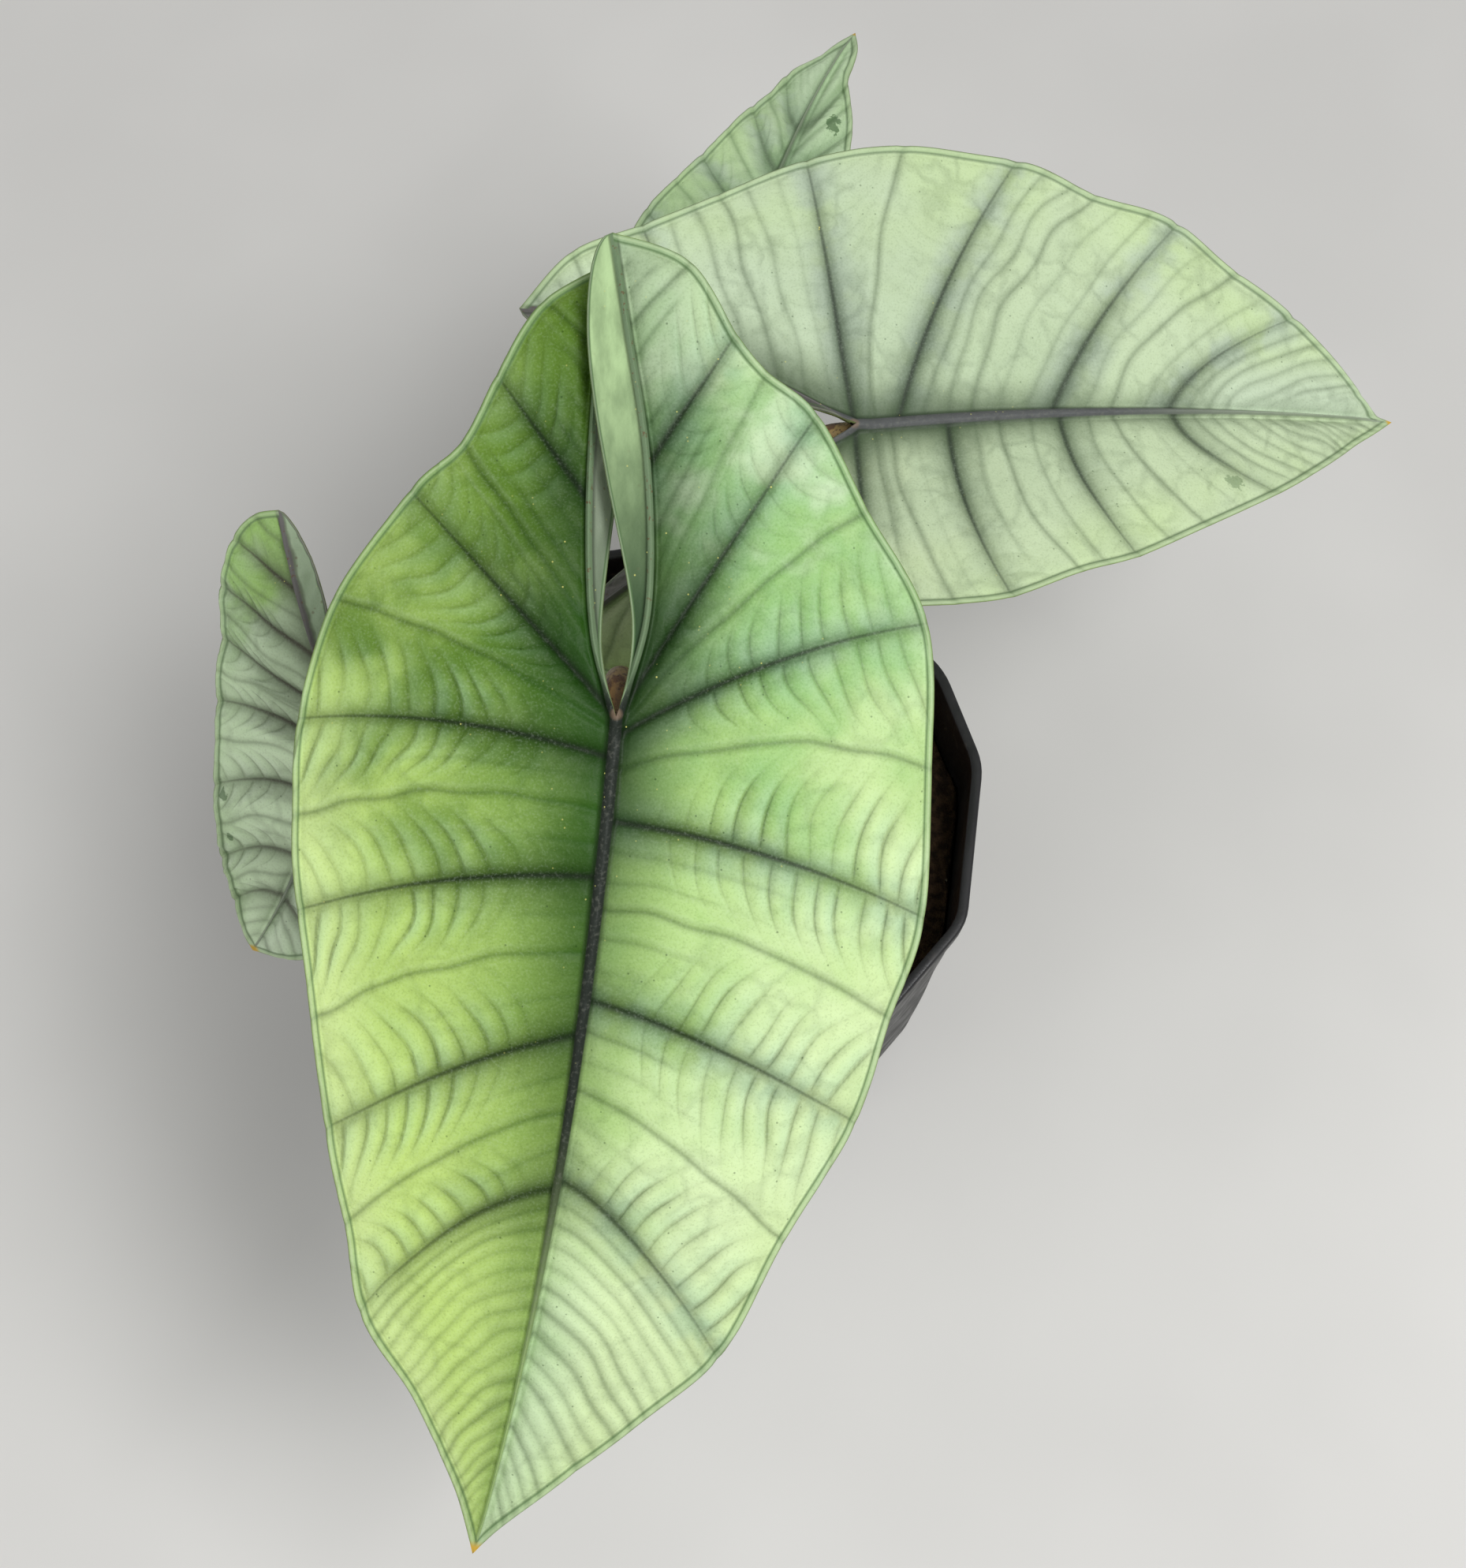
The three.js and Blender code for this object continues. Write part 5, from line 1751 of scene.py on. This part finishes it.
def build_crown():
    """The stump and its tatters in one piece."""
    stump = crown_stump()
    points, faces = [stump.reshape(-1, 3)], tube_faces(*stump.shape[:2])
    start = len(points[0])
    for sheet in crown_tatters(np.random.default_rng(12)):
        points.append(sheet.reshape(-1, 3))
        faces += tube_faces(*sheet.shape[:2], start)
        start += len(points[-1])
    return add_piece("crown", np.concatenate(points), faces, [crown_finish()])


place_piece(build_crown(), "stem_base", "crown")

# %% [markdown]
# Aroids are potted in an airy mix: chips of bark, grains of pale pumice and dark crumbs. Particles
# could scatter them, but real meshes are kept here, so each chip is a lump of its own: a squashed,
# boxy ball with an uneven skin. The ground under them follows the plain solid's gentle waves.
# The mix takes its shape from the pot, so the pot's outline comes first: twelve flats between
# corners that are slightly rounded.

# %% Pot outline
POT_CORNERS = (-24, 8.5, 29, 55, 84, 114, 146, 177, 207, 238, 269, 303)  # degrees from the x axis
POT_HEIGHT, POT_BASE_RADIUS, POT_RIM_RADIUS = 100, 69, 75
CORNER_ROUNDING = 0.055  # how far from a corner its rounding starts, in corner radii
MIX_LEVEL, MIX_GAP, MIX_BOTTOM = 80, 0.7, 2.7


def wall_radius(z):
    """The pot's corner radius at a height."""
    return blend(POT_BASE_RADIUS, POT_RIM_RADIUS, z / POT_HEIGHT)


def pot_outline(bend_points, flat_points):
    """The pot's outline for a corner radius of 1: flats between corners that are slightly rounded."""
    corners = [np.array([math.cos(a * DEGREE), math.sin(a * DEGREE)]) for a in POT_CORNERS]
    count = len(corners)
    outline = []
    for i, corner in enumerate(corners):
        before, after = corners[i - 1], corners[(i + 1) % count]
        start = corner + CORNER_ROUNDING * (before - corner) / np.linalg.norm(before - corner)
        end = corner + CORNER_ROUNDING * (after - corner) / np.linalg.norm(after - corner)
        for t in np.linspace(0, 1, bend_points):
            outline.append((1 - t) ** 2 * start + 2 * t * (1 - t) * corner + t * t * end)
        next_start = after + CORNER_ROUNDING * (corner - after) / np.linalg.norm(corner - after)
        for t in np.linspace(0, 1, flat_points + 2)[1:-1]:
            outline.append(blend(end, next_start, t))
    return np.array(outline)


print("the pot has", len(POT_CORNERS), "flats")


# %% [markdown]
# The ground of the mix is one skin of rings that fills the pot, raised into crumbs on top. The lumps
# on it start as balls: a power below 1 squares them up like bark chips, and uneven radii roughen them.

# %% Ground of the mix
GROUND_RINGS, MIX_MIDDLE = 90, 5  # rings from the wall to a radius that the crown hides


def mix_wave(x, y):
    """The gentle waves of the plain solid's top."""
    return 1.4 * (np.sin(x / 9 + 1) * np.cos(y / 7) + 0.6 * np.sin((x + 2 * y) / 5))


def ground_height(x, y):
    """The level of the mix with its crumbs."""
    crumbs = 1.1 * np.abs(soft_waves(x, y, 5, 5)) + 0.7 * soft_waves(x, y, 2.6, 6)
    return MIX_LEVEL - 1.2 + 0.8 * mix_wave(x, y) + crumbs


def mix_ground():
    """Rings of the ground: bottom, side, and then from the wall to the middle."""
    outline = pot_outline(4, 12)
    low, high = wall_radius(MIX_BOTTOM) - MIX_GAP, wall_radius(MIX_LEVEL) - MIX_GAP
    rings = [(low, MIX_BOTTOM), (high, MIX_LEVEL - 2)]
    points = [np.c_[outline * radius, np.full(len(outline), z)] for radius, z in rings]
    for radius in np.linspace(high, MIX_MIDDLE, GROUND_RINGS):
        flat = outline * radius
        points.append(np.c_[flat, ground_height(flat[:, 0], flat[:, 1])])
    return np.array(points)


print("the mix stands at about", round(float(ground_height(40, 0)), 1), "mm")

# %% Lumps of bark and pumice
LUMP_RINGS, LUMP_SIDES = 9, 14
SCATTER_RADIUS = 66


def lumps(places, sizes, boxiness, roughness, draw):
    """Squashed uneven balls: boxiness 1 is round, and smaller is more like a block."""
    rings, sides = LUMP_RINGS, LUMP_SIDES
    tilt = np.linspace(0, math.pi, rings)[None, :, None]
    turn = np.linspace(0, 2 * math.pi, sides, endpoint=False)[None, None]
    ball = np.stack([np.sin(tilt) * np.cos(turn), np.sin(tilt) * np.sin(turn), np.cos(tilt) + 0 * turn], -1)
    ball = np.sign(ball) * np.abs(ball) ** boxiness
    count = len(places)
    bumps = 1 + roughness * draw.normal(0, 1, (count, rings, sides, 1))
    bumps[:, [0, -1]] = 1
    shape = ball * bumps * sizes[:, None, None]
    turns = draw.uniform(0, 2 * math.pi, count)
    tips = draw.normal(0, 0.35, count)
    x = shape[..., 0] * np.cos(turns)[:, None, None] - shape[..., 1] * np.sin(turns)[:, None, None]
    y = shape[..., 0] * np.sin(turns)[:, None, None] + shape[..., 1] * np.cos(turns)[:, None, None]
    z = shape[..., 2] + x * np.sin(tips)[:, None, None]
    points = np.stack([x, y, z], -1) + places[:, None, None]
    return points, [tube_faces(rings, sides, i * rings * sides, closed=False) for i in range(count)]


def scattered(count, draw, clear):
    """Random places on the ground between the crown and the wall."""
    angle = draw.uniform(0, 2 * math.pi, count)
    radius = np.sqrt(draw.uniform((CROWN_RADIUS + clear) ** 2, (SCATTER_RADIUS - clear) ** 2, count))
    x, y = radius * np.cos(angle), radius * np.sin(angle)
    return np.stack([x, y, ground_height(x, y)], 1)


# %% [markdown]
# Three finishes tell crumbs, bark and pumice apart: dark and dull, layered red-brown, and pale with
# fine pits. They are three materials on one mesh, so that the mix stays one piece.

# %% Finishes of the mix


def soil_finish():
    """Dull dark crumbs with a few pale specks."""
    finish = Finish("soil_crumbs", roughness=0.95, specular=0.15)
    crumbs = finish.noise(2.5, 4)
    colour = finish.mix(finish.step(crumbs, 0.35, 0.65), rgb(30, 22, 16), rgb(62, 46, 33))
    colour = finish.mix(finish.times(finish.specks(2.2, 0.5, 0.12), 0.8), colour, rgb(150, 140, 122))
    finish.set("Base Color", colour)
    finish.bump(finish.plus(finish.times(crumbs, 0.9), finish.times(finish.noise(0.7, 3), 0.4)))
    return finish.material


def bark_finish():
    """Layered red-brown bark, darker in places."""
    finish = Finish("bark_chip", roughness=0.85, specular=0.2)
    layers = finish.noise(2.2, 4, (0.5, 1, 2.5))
    colour = finish.mix(finish.step(layers, 0.35, 0.65), rgb(58, 36, 24), rgb(120, 80, 52))
    colour = finish.mix(finish.step(finish.noise(9, 1), 0.4, 0.6, 0.0, 0.5), colour, rgb(44, 32, 26))
    finish.set("Base Color", colour)
    finish.bump(finish.times(layers, 0.8))
    return finish.material


def pumice_finish():
    """Pale stone with fine pits and brown stains."""
    finish = Finish("pumice_grain", roughness=0.95, specular=0.15)
    pits = finish.step(finish.noise(0.6, 3), 0.45, 0.6)
    colour = finish.mix(pits, rgb(150, 142, 126), rgb(206, 200, 184))
    colour = finish.mix(finish.step(finish.noise(5, 2), 0.45, 0.65, 0.0, 0.5), colour, rgb(120, 104, 82))
    finish.set("Base Color", colour)
    finish.bump(finish.times(pits, 0.3))
    return finish.material


# %% [markdown]
# Ground, chips and grains are joined in one mesh, and each face keeps the number of its finish. They
# could stay separate pieces, but they fill one place in the pot and are one sub-part of the plant.

# %% Build the mix
CHIP_COUNT, GRAIN_COUNT = 230, 170


def build_mix():
    """Ground, bark chips and pumice grains in one piece."""
    draw = np.random.default_rng(31)
    ground = mix_ground()
    points, faces = [ground.reshape(-1, 3)], tube_faces(*ground.shape[:2])
    kinds = [0] * len(faces)
    chip_ranges = ((2.5, 6.5), (1.8, 4), (0.9, 2))
    chip_sizes = np.stack([draw.uniform(*limits, CHIP_COUNT) for limits in chip_ranges], 1)
    grain_sizes = draw.uniform(0.9, 2.1, (GRAIN_COUNT, 1)) * draw.uniform(0.7, 1.2, (GRAIN_COUNT, 3))
    lump_kinds = (
        (scattered(CHIP_COUNT, draw, 5), chip_sizes, 0.55, 0.05, 1),
        (scattered(GRAIN_COUNT, draw, 3), grain_sizes, 0.8, 0.1, 2),
    )
    for places, sizes, boxiness, roughness, kind in lump_kinds:
        start = sum(len(p) for p in points)
        shapes, shape_faces = lumps(places, sizes, boxiness, roughness, draw)
        points.append(shapes.reshape(-1, 3))
        for group in shape_faces:
            faces += [tuple(start + i for i in face) for face in group]
            kinds += [kind] * len(group)
    materials = [soil_finish(), bark_finish(), pumice_finish()]
    return add_piece("potting_mix", np.concatenate(points), faces, materials, kinds)


place_piece(build_mix(), "potting_mix", "potting_mix")

# %% [markdown]
# The pot is blown from thin black plastic. Its wall has flexed into flats, its lip is a narrow folded
# band, and its plastic is worn a little paler in patches. The wall is one skin of rings that runs up
# the outside, over the lip and down the inside; the floor is filled in with its drain holes left open.

# %% Pot wall
WALL, FLOOR, LIP_WIDTH, LIP_DROP = 1.6, 2.4, 2.8, 6


def pot_profile():
    """Steps from the corner radius outwards, and height, from the foot over the lip to the floor."""
    lip_foot = POT_HEIGHT - LIP_DROP
    outside = [(WALL - 0.9, 0), (WALL - 0.25, 0.25), (WALL, 0.9)]
    outside += [(WALL, z) for z in np.linspace(6, lip_foot - 0.6, 22)]
    lip = [(WALL + 0.15, lip_foot - 0.15), (LIP_WIDTH - 0.35, lip_foot), (LIP_WIDTH, lip_foot + 0.4)]
    lip += [(LIP_WIDTH, POT_HEIGHT - 0.8), (LIP_WIDTH - 0.25, POT_HEIGHT - 0.2)]
    lip += [(LIP_WIDTH - 0.8, POT_HEIGHT)]
    lip += [(0.6, POT_HEIGHT), (0.1, POT_HEIGHT - 0.2), (0, POT_HEIGHT - 0.7)]
    inside = [(0, z) for z in np.linspace(lip_foot, FLOOR + 1.5, 16)] + [(-0.4, FLOOR + 0.4), (-1.5, FLOOR)]
    return outside + lip + inside


def pot_wall(outline):
    """Rings of the wall along its profile, slightly dented."""
    rings = []
    for out, z in pot_profile():
        flat = outline * (wall_radius(z) + out)
        round_wall = np.arctan2(flat[:, 1], flat[:, 0]) * 60
        dents = 0.25 * soft_waves(round_wall, np.full(len(flat), z), 45, 9)
        dents *= soft_step(z, 4, 30) * soft_step(z, 97, 70)
        rings.append(np.c_[flat * (1 - dents / 72)[:, None], np.full(len(flat), z)])
    return np.array(rings)


# %% [markdown]
# The floor is a flat face with holes in it. A boolean could cut them, but it leaves uneven slivers;
# filling the outline and the hole rings with triangles keeps the floor clean and closed.

# %% Drain holes
DRAIN_RADIUS, DRAIN_CIRCLE, DRAIN_COUNT = 2.2, 42, 6


def drain_rings():
    """The outlines of the drain holes."""
    turn = np.linspace(0, 2 * math.pi, 20, endpoint=False)
    middles = (np.arange(DRAIN_COUNT) + 0.5) * 2 * math.pi / DRAIN_COUNT
    return [
        np.stack([
            DRAIN_CIRCLE * math.cos(middle) + DRAIN_RADIUS * np.cos(turn),
            DRAIN_CIRCLE * math.sin(middle) + DRAIN_RADIUS * np.sin(turn),
        ], 1)
        for middle in middles
    ]


# %% Floors and build of the pot


def build_pot(material):
    """The wall, and floors below and inside with open drain holes."""
    outline = pot_outline(5, 6)
    wall = pot_wall(outline)
    points = [wall.reshape(-1, 3)]
    faces = tube_faces(*wall.shape[:2], closed=False)
    count = len(outline)
    holes = drain_rings()
    last_ring = (len(wall) - 1) * count
    numbers = {"low": list(range(count)), "high": list(range(last_ring, last_ring + count))}
    start = len(points[0])
    for hole in holes:
        for level, z in (("low", 0), ("high", FLOOR)):
            points.append(np.c_[hole, np.full(len(hole), z)])
            numbers[level] += list(range(start, start + len(hole)))
            start += len(hole)
        low = start - 2 * len(hole)
        for i in range(len(hole)):
            j = (i + 1) % len(hole)
            faces.append((low + i, low + i + len(hole), low + j + len(hole), low + j))
    for level, ring in (("low", wall[0]), ("high", wall[-1])):
        loops = [[Vector(p) for p in ring]]
        loops += [[Vector((x, y, ring[0][2])) for x, y in hole] for hole in holes]
        vectors = [v for loop in loops for v in loop]
        for triangle in tessellate_polygon(loops):
            face = [numbers[level][i] for i in triangle]
            corners = [vectors[i] for i in triangle]
            upward = (corners[1] - corners[0]).cross(corners[2] - corners[0]).z > 0
            faces.append(tuple(face if upward == (level == "high") else face[::-1]))
    return add_piece("pot", np.concatenate(points), faces, [material])


# %% [markdown]
# Thin nursery pots are black, a little scuffed and dusty, and the top of the lip is painted paler as a
# highlight. Uneven roughness is what makes plastic look handled, more than its colour does.

# %% Pot finish
LIP_HIGHLIGHT_FROM, LIP_HIGHLIGHT_FULLY = 0.0985, 0.0998  # heights in metres, at the lip's top


def pot_finish():
    """Black plastic, scuffed and dusty, with a painted highlight on the top of the lip."""
    finish = Finish("black_plastic", roughness=0.42, specular=0.4)
    worn = finish.step(finish.noise(16, 4), 0.45, 0.75)
    colour = finish.mix(worn, rgb(16, 16, 17), rgb(30, 30, 31))
    dust = finish.step(finish.noise(3, 4), 0.58, 0.75)
    colour = finish.mix(finish.times(dust, 0.35), colour, rgb(92, 84, 74))
    height = finish.tree.nodes.new("ShaderNodeSeparateXYZ")
    finish.feed(height.inputs[0], finish.place)
    # Painted highlight: the top of the lip is painted paler.
    lip = finish.step(height.outputs["Z"], LIP_HIGHLIGHT_FROM, LIP_HIGHLIGHT_FULLY)
    colour = finish.mix(finish.times(lip, 0.6), colour, rgb(46, 46, 48))
    finish.set("Base Color", colour)
    finish.set("Roughness", finish.step(finish.noise(7, 3), 0.3, 0.7, 0.34, 0.52))
    grain = finish.times(finish.noise(0.5, 2), 0.04)
    finish.bump(finish.plus(grain, finish.times(finish.noise(25, 2), 0.6)))
    return finish.material


place_piece(build_pot(pot_finish()), "pot_plastic", "pot")

# %% [markdown]
# The plant stands on a plain pale floor that is only there for the picture. A white card would do,
# but a hint of cloud in its tone keeps a large even area from looking empty.

# %% Floor
FLOOR_HALF = 4000


def add_floor():
    """A wide flat sheet at height 0."""
    floor = Finish("studio_floor", roughness=0.7, specular=0.2)
    cloud = floor.step(floor.noise(180, 3), 0.3, 0.7)
    floor.set("Base Color", floor.mix(cloud, rgb(214, 213, 210), rgb(222, 221, 218)))
    corners = [(x * FLOOR_HALF, y * FLOOR_HALF, 0) for x, y in ((-1, -1), (1, -1), (1, 1), (-1, 1))]
    piece = add_piece("studio_floor", corners, [(0, 1, 2, 3)], [floor.material], smooth=False)
    print("floor is", 2 * FLOOR_HALF * MM, "metres wide")


add_floor()

# %% [markdown]
# The photograph was taken in open shade: soft light from above, a little stronger from one side. One
# lamp alone would throw hard shadows, and an even sky would hide the relief, so a near lamp, a broad
# weak one on the other side and a dim white sky share the work.

# %% Light
LAMPS_LOOK_AT = Vector((0, 0, 0.15))
LAMPS = {
    "key": ((0.5, -0.35, 1.2), 0.55, 10.5),
    "fill": ((-0.75, -0.45, 0.95), 1.2, 3.6),
}
SKY_STRENGTH = 0.36


def add_light(name, place, size, power):
    """A square soft lamp of a size in metres and a power in watts that looks at the plant."""
    data = bpy.data.lights.new(name, "AREA")
    data.size = size
    data.energy = power
    light = bpy.data.objects.new(name, data)
    light.location = place
    light.rotation_euler = (Vector(place) - LAMPS_LOOK_AT).to_track_quat("Z", "Y").to_euler()
    bpy.context.scene.collection.objects.link(light)


for name, (place, size, power) in LAMPS.items():
    add_light(name, place, size, power)
world = bpy.data.worlds.new("studio")
bpy.context.scene.world = world
world.use_nodes = True
world.node_tree.nodes["Background"].inputs["Color"].default_value = (1, 1, 1, 1)
world.node_tree.nodes["Background"].inputs["Strength"].default_value = SKY_STRENGTH
bpy.context.scene.view_settings.view_transform = "Standard"
print("lamps:", sorted(LAMPS), "and a sky of strength", SKY_STRENGTH)
